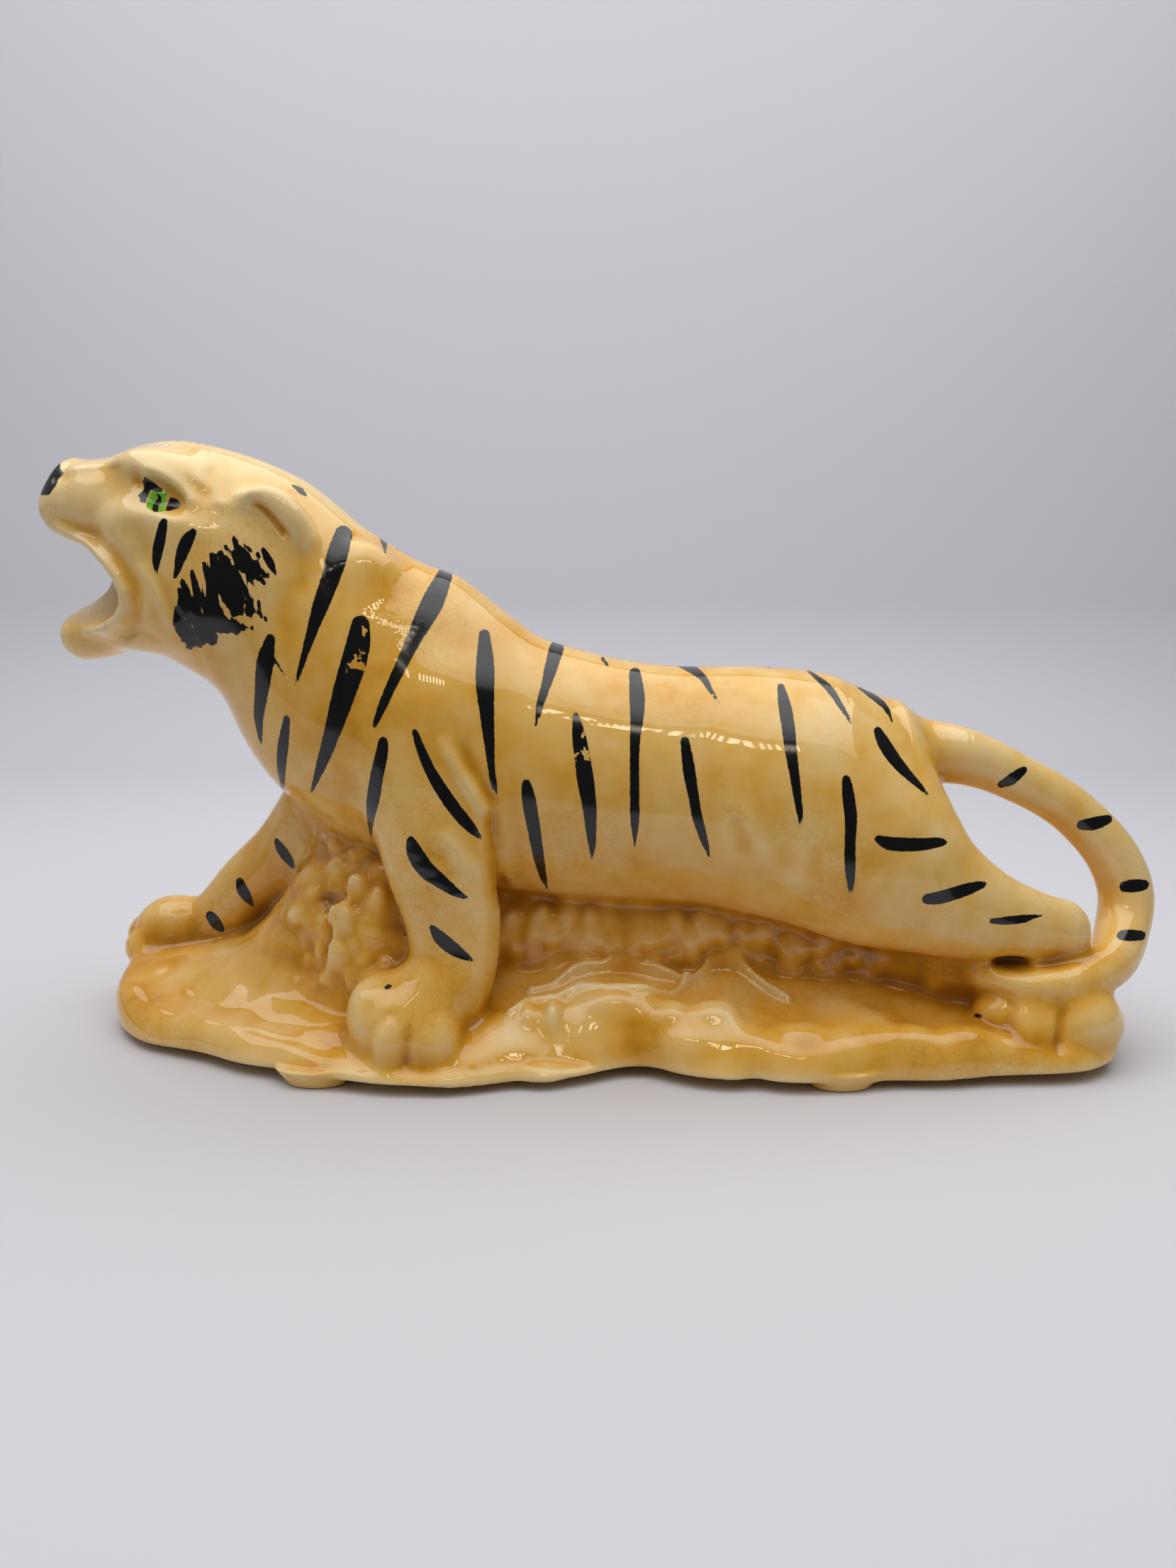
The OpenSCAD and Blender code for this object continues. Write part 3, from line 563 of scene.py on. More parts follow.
# %% Heap
def front_at(x, z):
    """Where the clay begins on the photo's side, at a place in the X-Z plane."""
    i, k = np.searchsorted(axes[0], x), np.searchsorted(axes[2], z)
    return float(axes[1][np.argmax(clay[i, :, k] < 0)])


heap = [[[-102, -9, 28, 20], [-95, -12, 44, 18.5], [-88, -9, 58, 15], [-84, -7, 74, 12]],
        [[-84, -29, 24, 15], [-78, -32, 40, 12.5], [-77, -27, 54, 10.5]]]
for stations, width in zip(heap, (13, 8)):
    run = curve(stations, 5).astype(np.float32)
    press_on("front_rocks", (-126, -44, 4), (-60, 16, 88), lambda x, y, z: limb(
        x, y, z, run) - 0.9 * ripple(x, y, z, 12, 31), width)
press_egg("front_rocks", (-69, -37, 32), (8, 7, 11), 5)  # fills the gap beside the near leg
heap_front = -46.0  # nothing on the heap stands further out than this
pebbles = [  # x, z, radii x z
    (-96.1, 37.7, 5.4, 7.2), (-86.2, 44.6, 3.8, 4.2), (-80.6, 32.8, 4, 5.4), (-74, 31.4, 3.4, 4.8),
    (-76.8, 49.4, 3.6, 9), (-90.6, 59, 6.4, 6.6), (-104.5, 44, 6, 4.2), (-93.8, 25.5, 4.2, 3.2),
    (-83, 55, 3.6, 6), (-87.4, 35, 3, 5), (-99, 51, 5, 4.4), (-82, 66, 5, 5), (-92, 68, 5, 4.2)]
for x, z, rx, rz in pebbles:
    press_egg("front_rocks", (x, max(front_at(x, z), heap_front) + 2.2, z), (rx, 4.0, rz), 1.4)
rng = np.random.default_rng(17)
grains = 34
for z, across, r, tall, lean in zip(rng.uniform(26, 62, grains), rng.uniform(-1, 1, grains),
                                    rng.uniform(1.8, 2.8, grains), rng.uniform(1.4, 2.8, grains),
                                    rng.uniform(-0.5, 0.3, grains)):
    x = -90 + 0.25 * (z - 45) + across * (13 - 0.2 * (z - 26))
    spot = (x, max(front_at(x, z), heap_front) + 0.75 * r, z)
    press_egg("front_rocks", spot, (r, r, r * tall), 1.8, lean)
for x, z in ((-89.8, 64.4), (-87.1, 56.3), (-95.9, 51.1)):
    dent = (x, max(front_at(x, z), heap_front) - 2.6, z)
    cut_out(np.array(dent) - 6, np.array(dent) + 6, lambda x, y, z: egg(x, y, z, dent, (3.4, 3.4, 2.4)), 2.4)
print(len(pebbles), "pebbles and", grains, "grains on the heap")

# %% Boulders
boulders = [  # x, y, z, radii x y z
    (145, -47, 15, 23, 13.5, 10), (137, -51.5, 18, 9.5, 8, 7.4), (154, -48.5, 17, 13, 13, 10.6),
    (127.4, -48, 18, 7, 6, 5.4), (134, -56, 14.4, 3.6, 4.4, 4.4), (139.6, -56, 14.2, 3.6, 4.4, 4.4),
    (162, -36, 13, 8.4, 18, 9)]
for x, y, z, rx, ry, rz in boulders:
    press_egg("tail_rocks", (x, y, z), (rx, ry, rz), 4.5)
fold([(1.1, 1.6, [[142.5, 11], [143.4, 16], [146, 23]]),
      (0.7, 1.6, [[128.4, 17], [129, 20], [130.4, 23.5]])], -1)
pit = (131.3, -49.5, 34.8)  # between the heel and the tail's end
cut_out(np.array(pit) - 9, np.array(pit) + 9, lambda x, y, z: egg(x, y, z, pit, (6.4, 6.5, 2.1)), 2.2)
print(len(boulders), "boulders under the tail's end")

# %% [markdown]
# ## Trough, hollow base and foot pads
# The trough behind the tiger holds the plant. It is a tub with an even wall and a rounded rim, standing on
# the ledge. Under the base the casting is open and hollow, and four pads lift it off the table.

# %% Trough
trough = dict(x=-4.0, y=39.0, long=88.0, deep=31.0, rim=82.0, foot=26.0, floor=30.0, wall=4.2, lean=5.0)
squareness = 2.8  # exponent of its rounded outline: 2 is an ellipse


def tub(x, y, z, inset):
    """Distance in plan to the trough's outline at each height, drawn in by inset: the scaled radius of a
    rounded oblong minus one, over the length of its slope."""
    lean = trough["lean"] * (trough["rim"] - z) / (trough["rim"] - trough["foot"])
    long, deep = trough["long"] - lean - inset, trough["deep"] - lean - inset
    a, b = np.abs(x - trough["x"]) / long + 1e-6, np.abs(y - trough["y"]) / deep + 1e-6
    n = squareness
    f = (a ** n + b ** n) ** (1 / n)
    slope = np.sqrt((a ** (n - 1) / long) ** 2 + (b ** (n - 1) / deep) ** 2) * f ** (1 - n)
    return (f - 1) / slope


def trough_wall(x, y, z):
    """The trough as a solid with a rounded rim, and rock-like waves on its outside."""
    return -melt(-tub(x, y, z, 0) - 0.8 * ripple(x, y, z, 30, 8), trough["rim"] - z + 0 * x * y, 3.5)


def trough_well(x, y, z):
    """The hollow of the trough, open at the top."""
    return -melt(-tub(x, y, z, trough["wall"]), z - trough["floor"] + 0 * x * y, 5.0)


well_low, well_high = (-94, 6, 24), (86, 72, 84)
press_on("planting_trough", well_low, well_high, trough_wall, 5.0)
cut, x, y, z = window(well_low, well_high, 6)
# The well stops at the body and at the far foreleg.
keep = np.minimum(sweep(x, y, z, curve(spine, spine_knots), end_reach)[0], limb(
    x, y, z, curve([[-84, 2, 106, 22], [-97, 6, 90, 19], [-111, 9, 72, 15.5]], 4)))
clay[cut] = -melt(-clay[cut], np.maximum(trough_well(x, y, z), -keep).astype(np.float32), 2.5)
print("trough with a well %.0f mm deep" % (trough["rim"] - trough["floor"]))

# %% Hollow and pads
def under_hollow(x, y, z):
    """The hollow under the base: inside its outline and under its top, each by a wall."""
    top = z - np.minimum(base_height(x, y) - 5.0, 22.0)
    return -melt(-(plan_edge(x, y) + 12.0) + 0 * z, -top, 3.0)


def foot_pad(centre):
    """An upright oval, a little wider at the top, as a shape for the clay."""
    def shape(x, y, z):
        round_it = np.hypot(np.abs(x - centre[0]) * 0.52, y - centre[1]) - 4.6 - 0.4 * z
        return np.maximum(round_it, np.maximum(-z, z - pad_height))
    return shape


pad_height = 6.0
pad_inset = 4.4  # from the base's edge to the middle of a pad
cut_out((-170, -70, 0), (170, 70, 28), under_hollow, 2.0)
for x0 in (-94.0, 73.0):
    for side in (-1, 1):
        line = np.linspace(0, side * 80.0, 321)
        reach = line[np.argmin(np.abs(plan_edge(np.full(line.shape, x0), line)))]
        pad = (x0, reach - side * pad_inset)
        press_on("foot_pads", (x0 - 13, pad[1] - 8, 0), (x0 + 13, pad[1] + 8, pad_height), foot_pad(pad), 1.5)
print(len(sections), "sections in the clay")

# %% [markdown]
# ## Skin
# Surface nets turn the field into a mesh: each grid cell that the skin passes through gets one point, at
# the mean of the crossings on its edges, and each grid edge that crosses the skin gets a four-sided face.
# The points then slide along the slope of the field until they lie on the skin.

# %% Reading the field
def sample(grid, p):
    """Value of a grid at points in grid units, mixed from the eight corners of the cell."""
    i = np.clip(p.astype(int), 0, np.array(grid.shape) - 2)
    t = p - i
    out = 0.0
    for dx in (0, 1):
        for dy in (0, 1):
            for dz in (0, 1):
                w = abs(1 - dx - t[:, 0]) * abs(1 - dy - t[:, 1]) * abs(1 - dz - t[:, 2])
                out = out + w * grid[i[:, 0] + dx, i[:, 1] + dy, i[:, 2] + dz]
    return out


def cell_size(p):
    """Size of the grid's cells at points in grid units."""
    sizes = [np.interp(p[:, n], np.arange(len(a) - 1) + 0.5, np.diff(a)) for n, a in enumerate(axes)]
    return np.stack(sizes, 1)


def slope(p):
    """Direction in which the field rises, from central differences one cell wide."""
    g = np.stack([sample(clay, p + v) - sample(clay, p - v) for v in np.eye(3) * 0.5], 1) / cell_size(p)
    return g / np.maximum(np.linalg.norm(g, axis=1, keepdims=True), 1e-6)


print("field in the middle of the grid: %.1f mm" % sample(clay, np.array([clay.shape]) / 2.0)[0])

# %% Points of the skin
solid = clay < 0
corners = [(a, b, c) for a in (0, 1) for b in (0, 1) for c in (0, 1)]
size = np.array(clay.shape) - 1
mixed = np.zeros(size, np.int8)
for a, b, c in corners:
    mixed += solid[a:a + size[0], b:b + size[1], c:c + size[2]]
cells = np.argwhere((mixed > 0) & (mixed < 8))
points, hits = np.zeros((len(cells), 3)), np.zeros((len(cells), 1))
for a in corners:
    for axis in range(3):
        if a[axis] == 0:
            b = tuple(1 if n == axis else v for n, v in enumerate(a))
            va, vb = clay[tuple((cells + a).T)], clay[tuple((cells + b).T)]
            hit = (va < 0) != (vb < 0)
            t = np.where(hit, va / np.where(hit, va - vb, 1), 0)[:, None]
            points += hit[:, None] * (np.array(a) + t * (np.array(b) - np.array(a)))
            hits += hit[:, None]
points = cells + points / hits
print(len(points), "cells that the skin passes through")

# %% Faces of the skin
number = np.full(size, -1, np.int32)
number[tuple(cells.T)] = np.arange(len(cells))
quads = []
for axis in range(3):
    n, m = (axis + 1) % 3, (axis + 2) % 3
    e = np.eye(3, dtype=int)
    first = tuple(slice(None, -1) if k == axis else slice(1, -1) for k in range(3))
    second = tuple(slice(1, None) if k == axis else slice(1, -1) for k in range(3))
    turn = solid[first].astype(np.int8) - solid[second]
    for way in (1, -1):
        at = np.argwhere(turn == way) + e[n] + e[m]
        ring = [at - e[n] - e[m], at - e[m], at, at - e[n]][::way]
        quads.append(np.stack([number[tuple(r.T)] for r in ring], 1))
quads = np.vstack(quads)
slide = 0.7  # share of the way to the skin in one step
for _ in range(3):
    points -= slope(points) * sample(clay, points)[:, None] / cell_size(points) * slide
print(len(points), "points and", len(quads), "faces in the skin")

# %% [markdown]
# ## Sections
# Each face of the skin belongs to the section that was nearest to it, and a few rounds of majority vote
# straighten the seams. A section's mesh is closed with a face across each seam, inside the clay, and
# its normals come from the field, so that the glaze shows no seam.

# %% Votes along the seams
mm = 1000.0  # in a metre, the unit of the meshes
label = owner[tuple(np.clip(np.round(points).astype(int), 0, size).T)]
for _ in range(8):
    votes = np.zeros((len(points), len(sections)), np.int32)
    for n in range(4):
        for m in range(4):
            np.add.at(votes, (quads[:, n], label[quads[:, m]]), 1)
    label = votes.argmax(1)
face_label = np.stack([(label[quads] == n).sum(1) for n in range(len(sections))], 1).argmax(1)
place = np.stack([np.interp(points[:, n], np.arange(len(a)), a) for n, a in enumerate(axes)], 1) / mm
print(dict(zip(sections, np.bincount(face_label).tolist())))

# %% Closing the seams
cap_step = 2.5 / mm  # how far a cap's points sink in one round
cap_depth = 8.0  # where they stop
cap_gain = 1.0  # least depth won in a round


def grid_place(p):
    """Grid units of points given in metres."""
    return np.stack([np.interp(p[:, n] * mm, a, np.arange(len(a))) for n, a in enumerate(axes)], 1)


def spots(mesh):
    """Places of a mesh's vertices as an array."""
    p = np.zeros(len(mesh.vertices) * 3, np.float32)
    mesh.vertices.foreach_get("co", p)
    return p.reshape(-1, 3).astype(float)


def skin_mesh(name, faces):
    """A mesh from some of the skin's faces, and the number of its points."""
    used, index = np.unique(faces, return_inverse=True)
    mesh = bpy.data.meshes.new(name)
    mesh.vertices.add(len(used))
    mesh.vertices.foreach_set("co", place[used].astype(np.float32).ravel())
    mesh.loops.add(faces.size)
    mesh.loops.foreach_set("vertex_index", index.astype(np.int32).ravel())
    mesh.polygons.add(len(faces))
    mesh.polygons.foreach_set("loop_start", np.arange(0, faces.size, 4, dtype=np.int32))
    mesh.update(calc_edges=True)
    return mesh, len(used)


def close_seams(mesh):
    """Extrudes each open edge into a flange, and fills each rim with a cap whose inner edges are cut in
    four. The flange's faces are put in the order of their points, so that each run gives the same mesh."""
    bm = bmesh.new()
    bm.from_mesh(mesh)
    seams = [e for e in bm.edges if e.is_boundary]
    if seams:
        skin_faces = len(bm.faces)
        flange = bmesh.ops.extrude_edge_only(bm, edges=seams)["geom"]
        bm.verts.index_update()
        strips = [f for f in flange if isinstance(f, bmesh.types.BMFace)]
        for n, f in enumerate(sorted(strips, key=lambda f: sorted(v.index for v in f.verts))):
            f.index = skin_faces + n
        bm.faces.sort()
        rims = [e for e in flange if isinstance(e, bmesh.types.BMEdge) and e.is_boundary]
        made = bmesh.ops.holes_fill(bm, edges=rims, sides=0)["faces"]
        made = bmesh.ops.triangulate(bm, faces=made)["faces"]
        inner = {e for f in made for e in f.edges}.difference(rims)
        across = [e for e in bm.edges if e in inner]
        bmesh.ops.subdivide_edges(bm, edges=across, cuts=3, use_grid_fill=True)
    bm.to_mesh(mesh)
    bm.free()


def sink_caps(mesh, first):
    """Moves the points from number first on down the slope of the field, as long as that wins depth."""
    p = spots(mesh)
    cap = p[first:]
    for _ in range(5):
        depth, deeper = sample(clay, grid_place(cap)), cap - slope(grid_place(cap)) * cap_step
        gain = depth - sample(clay, grid_place(deeper))
        cap = np.where(((depth > -cap_depth) & (gain > cap_gain))[:, None], deeper, cap)
    p[first:] = cap
    mesh.vertices.foreach_set("co", p.astype(np.float32).ravel())


def refine(mesh, boxes):
    """Cuts the edges inside some boxes in four, so that small paint gets a clean edge."""
    bm = bmesh.new()
    bm.from_mesh(mesh)
    for low, high in boxes:
        near = {v for v in bm.verts if all(a < c < b for a, c, b in zip(low, v.co, high))}
        inside = [e for e in bm.edges if near.issuperset(e.verts)]
        bmesh.ops.subdivide_edges(bm, edges=inside, cuts=3, use_grid_fill=True)
    bm.to_mesh(mesh)
    bm.free()


print("caps sink in steps of %.1f mm" % (cap_step * mm))

# %% Pieces
eye_boxes = [((-0.1535, -0.060, 0.174), (-0.1300, -0.025, 0.195)),
             ((-0.1535, -0.005, 0.174), (-0.1300, 0.030, 0.195))]
pieces = {}
for n, name in enumerate(sections):
    mesh, count = skin_mesh("glazed_" + name, quads[face_label == n])
    close_seams(mesh)
    sink_caps(mesh, count)
    if name == "head":
        refine(mesh, eye_boxes)
    mesh.shade_smooth()
    mesh.normals_split_custom_set_from_vertices(slope(grid_place(spots(mesh))))
    pieces[name] = bpy.data.objects.new("glazed_" + name, mesh)
    bpy.context.scene.collection.objects.link(pieces[name])
    print(name, len(mesh.polygons), "faces")

# %% [markdown]
# ## Stripes
# The painter holds the figure and brushes black enamel on with a loaded brush: each stroke starts round and
# wide and runs out to a point. The strokes are drawn here on an upright sheet in front of the figure, as the
# eye of the photo sees them, and each skin point looks up how deep it lies inside a stroke.

# %% Stripes
sheet_y = -50.0
eye_place = np.array([-7.4, -447.0, 172.0])  # of the camera
stripes = [  # each stroke: x, z and half width along it, on the sheet
    [[-82.1, 172.4, 2.7], [-84.4, 165.7, 3.2], [-86.2, 160, 2.9], [-89.7, 151.4, 2.5], [-92.2, 144.9, 1.9],
     [-95.1, 136.9, 1.2], [-97.6, 129.6, 0.7], [-98.8, 125.8, 0.1]],
    [[-77.8, 145, 2.9], [-79.2, 137, 3.9], [-83.3, 124.8, 3.7], [-87.5, 112.4, 2.7], [-91.6, 101.1, 1.7],
     [-95.2, 92.3, 0.4]],
    [[-51.5, 159.9, 2.4], [-55.3, 152, 3.4], [-58.8, 145.5, 2.9], [-62.4, 138.7, 2.2], [-69.1, 125.5, 1.6],
     [-72.5, 118.1, 1.3], [-74.9, 112.7, 0.5]],
    [[-105.9, 140.7, 1.5], [-107.9, 133.4, 2.7], [-109.3, 124.8, 2.2], [-110.7, 116.1, 1.5],
     [-110.4, 107.9, 0.4]],
    [[-105.4, 135.1, 0.5], [-102, 129.2, 0.2]],
    [[-101.9, 115.9, 1], [-103.2, 108.7, 1.7], [-104.3, 101.1, 1.5], [-104.2, 92.3, 0.4]],
    [[-39.5, 141.9, 1.7], [-39.4, 133.6, 2.8], [-39.5, 126.3, 2.9], [-39.2, 118.9, 2.4],
     [-38.6, 109.9, 1.8], [-38, 100.9, 1.2], [-37.3, 94.8, 1], [-36.2, 91.1, 0.2]],
    [[-17.2, 137.7, 2.3], [-19, 131.5, 2], [-20.5, 126.3, 1.5], [-22.4, 120.4, 1.2], [-23.1, 116.7, 0.8],
     [-24.5, 112.2, 0.2]],
    [[-71.9, 108.5, 1.5], [-72.6, 104, 2], [-74.3, 97.2, 2.1], [-75.6, 90.3, 2.1], [-76.6, 84.2, 1.3],
     [-76.8, 77.3, 0.2]],
    [[-61.8, 111.5, 1], [-59.9, 105.5, 1.5], [-57.1, 98.7, 1.8], [-53.2, 91.9, 2.1], [-49.6, 86.5, 2.1],
     [-45.2, 81.1, 1.8], [-41.5, 77, 0.4]],
    [[-64, 76.5, 1.4], [-63, 72.7, 2.6], [-59.8, 67.2, 2.9], [-55.3, 63.3, 2.4], [-50.8, 59.8, 1.7],
     [-46.3, 57.2, 0.5]],
    [[-58, 47.6, 0.9], [-55.2, 43.8, 2.3], [-50.9, 40, 2.2], [-47.3, 37.7, 1.3], [-44.7, 36, 0.3]],
    [[-26.9, 94.9, 1.5], [-26.3, 90.3, 2.2], [-25.3, 84.2, 2.2], [-24.2, 77.3, 2], [-23.1, 70.4, 1.7],
     [-21.7, 64.1, 1.1], [-20.5, 60.4, 0.2]],
    [[-11.3, 116.7, 1], [-10.2, 110, 2.2], [-9.1, 102.5, 2.5], [-8, 94.9, 2.7], [-6.9, 87.3, 2.2],
     [-6.5, 81.2, 1.8], [-6.1, 75, 1.2], [-6, 70, 0.2]],
    [[7.2, 130, 1.8], [7.9, 123.4, 2.4], [8, 117.4, 2.2], [7.6, 111.5, 1.8], [7.3, 104, 1.5],
     [7.5, 85.8, 1.5], [7.6, 79.6, 1], [7.7, 73.9, 0.2]],
    [[23.1, 108.7, 1.4], [24.5, 99.6, 2], [26.1, 90.9, 1.7], [27.6, 83.5, 1.6], [29.9, 76.1, 1.2],
     [31.5, 70.9, 0.3]],
    [[19.9, 133.1, 0.6], [25.1, 131.2, 1.3], [28.7, 128.3, 1.1], [30.8, 124.8, 0.8], [33.8, 120.5, 0.2]],
    [[-2.9, 134.6, 0.6], [-1.1, 132.2, 0.4]],
    [[46.3, 133.4, 0.4], [49.5, 131.6, 0.2]],
    [[52.8, 125.8, 1.1], [54.2, 119.8, 2], [55.6, 112.7, 2.1], [56.6, 105.4, 1.9], [57.9, 98.2, 1.6],
     [59.1, 90.9, 1.3], [60.2, 84.3, 0.9], [60.5, 80.2, 0.2]],
    [[61, 130.9, 0.4], [65.3, 127.6, 0.9], [68.3, 124.8, 1.1], [71.3, 120.5, 0.9], [73.9, 116.6, 0.6],
     [75.5, 113.7, 0.2]],
    [[77.1, 125.5, 0.3], [81.8, 122.6, 0.9], [85.1, 120.1, 0.9], [87, 117.3, 0.6], [88.1, 114.6, 0.2]],
    [[83.7, 111.9, 1.3], [86, 107.6, 2], [89, 103.3, 2], [92.8, 98.9, 1.6], [97.3, 94.6, 1],
     [100.8, 91, 0.2]],
    [[74.4, 96.3, 1.4], [75.3, 90.9, 2], [76.4, 83.5, 2], [76.4, 76.1, 1.8], [76.7, 68.7, 1.8],
     [77.1, 62.7, 1.3], [77.4, 58.3, 0.3]],
    [[85.5, 76.9, 1.3], [88.8, 75.5, 2.2], [93.9, 75.1, 2.3], [99.7, 75.2, 2.1], [104.8, 75.8, 1.6],
     [106.6, 75.9, 0.9]],
    [[102.1, 57, 1.8], [105.7, 57.4, 2.2], [110.7, 58.9, 2.2], [115.7, 60.6, 2], [119.7, 61.9, 1.2]],
    [[123.3, 49.6, 0.9], [128.4, 49.8, 1.4], [133.6, 50.4, 1.4], [137.4, 51.2, 0.6], [140.4, 51.8, 0.2]],
    [[123.3, 94.6, 1], [126.8, 96.4, 1.9], [130.4, 99.4, 1.2]],
    [[150.1, 81.5, 1.7], [154.5, 82.1, 2.2], [158.2, 83.4, 1.5]],
    [[165.5, 61.2, 1.9], [168.3, 61.4, 2.2], [171.3, 61.7, 1.9]],
    [[165.8, 44.9, 1.7], [168.8, 44.8, 2], [171.9, 44.7, 1.7]],
    [[-97.4, 187.4, 0.1], [-94.5, 185.4, 0.9], [-92.7, 183.6, 0.2]],
    [[-72, 174.9, 0.4], [-69.9, 171.3, 1.1], [-69.5, 166.7, 0.2]],
    [[-136.6, 176.3, 1], [-137.3, 174.1, 1.5], [-138.5, 169.8, 1.7], [-139.4, 166.3, 1.5],
     [-139.9, 163.2, 1], [-139.9, 160.6, 0.2]],
    [[-127.9, 173.3, 1], [-129.6, 171.1, 1.9], [-131, 168.5, 2], [-132.4, 165, 1.6], [-133.4, 161.9, 1],
     [-134.4, 159.7, 0.6]],
    [[-106.7, 167.8, 0.8], [-105.1, 164.3, 1.4], [-103.1, 160, 0.2]],
]
far_leg_strokes = [
    [[-106.9, 76.3, 0.9], [-105.3, 73, 1.7], [-103.1, 69.7, 1.4], [-101.8, 67.1, 0.3]],
    [[-119.5, 62.9, 1.3], [-118.5, 59.6, 1.9], [-116.8, 56.6, 1.3], [-115.7, 54.8, 0.3]],
    [[-129.5, 51.4, 1.6], [-128, 49.1, 2], [-126.3, 46.8, 1.1]],
]
print(len(stripes), "stripes and", len(far_leg_strokes), "on the far foreleg")

# %% Cheek, eyes and nose
cheek_tuft = [
    [[-131.7, 147.9, 1], [-130, 139.9, 1.2]],
    [[-125, 163.6, 0.6], [-122.8, 151.4, 1.9], [-119.9, 143.8, 1.5]],
    [[-122.6, 166.5, 0.7], [-119.4, 156.4, 2.5], [-116.3, 149.2, 1.5]],
    [[-120.1, 166.7, 0.6], [-116.6, 157.1, 2.5], [-112.7, 148.5, 1.1]],
    [[-117.8, 165.3, 0.6], [-114.2, 155.7, 2.2], [-111.2, 149.6, 1]],
    [[-115.9, 171.3, 0.7], [-111.9, 164.6, 1.9], [-107.2, 157.7, 0.7]],
    [[-118.3, 169.1, 0.5], [-112.7, 162.8, 2], [-107.7, 158.9, 1]],
    [[-114.2, 170.3, 0.5], [-107.9, 165.7, 0.3]],
    [[-110.2, 163.6, 1.6], [-106.5, 160, 0.7]],
    [[-120.1, 146, 1.6], [-116.2, 144.3, 1.6], [-112.2, 144, 0.4]],
    [[-116.3, 149.6, 1.7], [-111.2, 149.8, 1], [-106.9, 146.4, 0.2]],
    [[-112.3, 159.3, 0.6], [-109, 156.1, 0.1]],
    [[-109.6, 152.5, 0.5], [-108.4, 148.5, 0.2]],
    [[-133.7, 156.4, 0.4], [-132.8, 151, 1.6], [-134.2, 144.9, 1.2], [-130.7, 139.1, 1.6]],
    [[-132.1, 158.2, 0.5], [-129.2, 150, 1.7], [-127.3, 140.9, 2.2]],
    [[-129.4, 161.1, 0.5], [-126.9, 152.8, 1.7], [-123.3, 144.2, 1.5]],
    [[-134, 145.6, 0.9], [-132.2, 141.3, 1.7], [-127.5, 138.7, 0.6]],
    [[-127.8, 150, 1.3], [-124.1, 142.7, 2], [-122.7, 139.7, 0.6]],
    [[-125.2, 146.4, 1.3], [-119.6, 142.2, 0.2]],
]
eye_patches = [  # outlines: x and z on the sheet
    [[-141.8, 189.8], [-139.7, 188.5], [-137.6, 186.8], [-136.3, 186], [-136.6, 185.4], [-138.2, 185.2],
     [-140.1, 185.7], [-140.6, 184.7], [-141.1, 183.6], [-141.9, 181.9], [-143.6, 182.1], [-143.5, 183.2],
     [-144.1, 184], [-143.7, 184.7], [-142.6, 185.1], [-142, 186.2], [-142.4, 187.9]],
    [[-134.1, 183.7], [-131.9, 182.7], [-131.3, 181.5], [-131.6, 180.4], [-133.7, 179.7], [-136.1, 179.4],
     [-135.3, 181.5]],
    [[-138.2, 184.7], [-136.9, 183.6], [-137.1, 182.1], [-138, 180.8], [-138.3, 179.3], [-139.6, 179.1],
     [-140.1, 179.9], [-139.5, 181.5], [-138.5, 182.7], [-138, 183.6]],
]
iris = [[-140.1, 185.2], [-138.6, 185.5], [-135.3, 185.7], [-135.2, 184], [-135.7, 182.3], [-136.1, 179.5],
        [-138.1, 179.1], [-140.3, 179.5], [-141.8, 180.4], [-141.4, 182.3], [-140.9, 183.6]]
nose_patch = [[-166.9, 197], [-166.9, 191.8], [-165.9, 190.5], [-167.9, 188.9], [-168.6, 187.1],
              [-171, 184.2], [-173.6, 184], [-174.2, 197]]
# Two dark specks fired into the glaze, and two places where the enamel has worn off.
specks = [[[-73.3, 27.0, 0.7], [-72.3, 27.6, 0.8]], [[120.1, 17.4, 0.7], [121.3, 17.1, 0.7]]]
chips = [[[-77.5, 140.5, 2.2], [-80, 131.5, 2.6]], [[-9.6, 110, 1.4], [-9.2, 104, 1.6]]]
print(len(cheek_tuft), "dry strokes on the cheek")

# %% Brush
outside_paint = -5.0  # depth given to points far from every stroke
brush_reach = 8.0  # how far round a stroke points are measured


def on_sheet(p, turn_y):
    """Where points are seen on the sheet from the eye: drawn towards it by the share of the depth. Points
    beyond the plane at turn_y are first turned over to the near side."""
    y = np.minimum(p[:, 1], 2 * turn_y - p[:, 1])
    t = ((sheet_y - eye_place[1]) / (y - eye_place[1]))[:, None]
    return eye_place[[0, 2]] + (p[:, [0, 2]] - eye_place[[0, 2]]) * t


def brush(uv, strokes):
    """Depth inside the nearest stroke in millimetres: the half width there minus the distance to its line."""
    depth = np.full(len(uv), outside_paint)
    for stations in strokes:
        run = curve(stations, 3)
        near = np.all((uv > run[:, :2].min(0) - brush_reach) & (uv < run[:, :2].max(0) + brush_reach), axis=1)
        u, v = uv[near].T
        for a, b in zip(run[:-1], run[1:]):
            e = b - a
            t = np.clip(((u - a[0]) * e[0] + (v - a[1]) * e[1]) / (e[:2] @ e[:2] + tiny), 0, 1)
            d = a[2] + t * e[2] - np.hypot(u - a[0] - t * e[0], v - a[1] - t * e[1])
            depth[near] = np.maximum(depth[near], d)
    return depth


def patch(uv, outlines):
    """Depth inside the nearest of some outlines in millimetres."""
    return np.max([-inside_line(uv[:, 0], uv[:, 1], np.array(o)) for o in outlines], 0)


print("depth in the middle of the first stripe: %.1f mm" % brush(np.array([stripes[0][2][:2]]), stripes)[0])
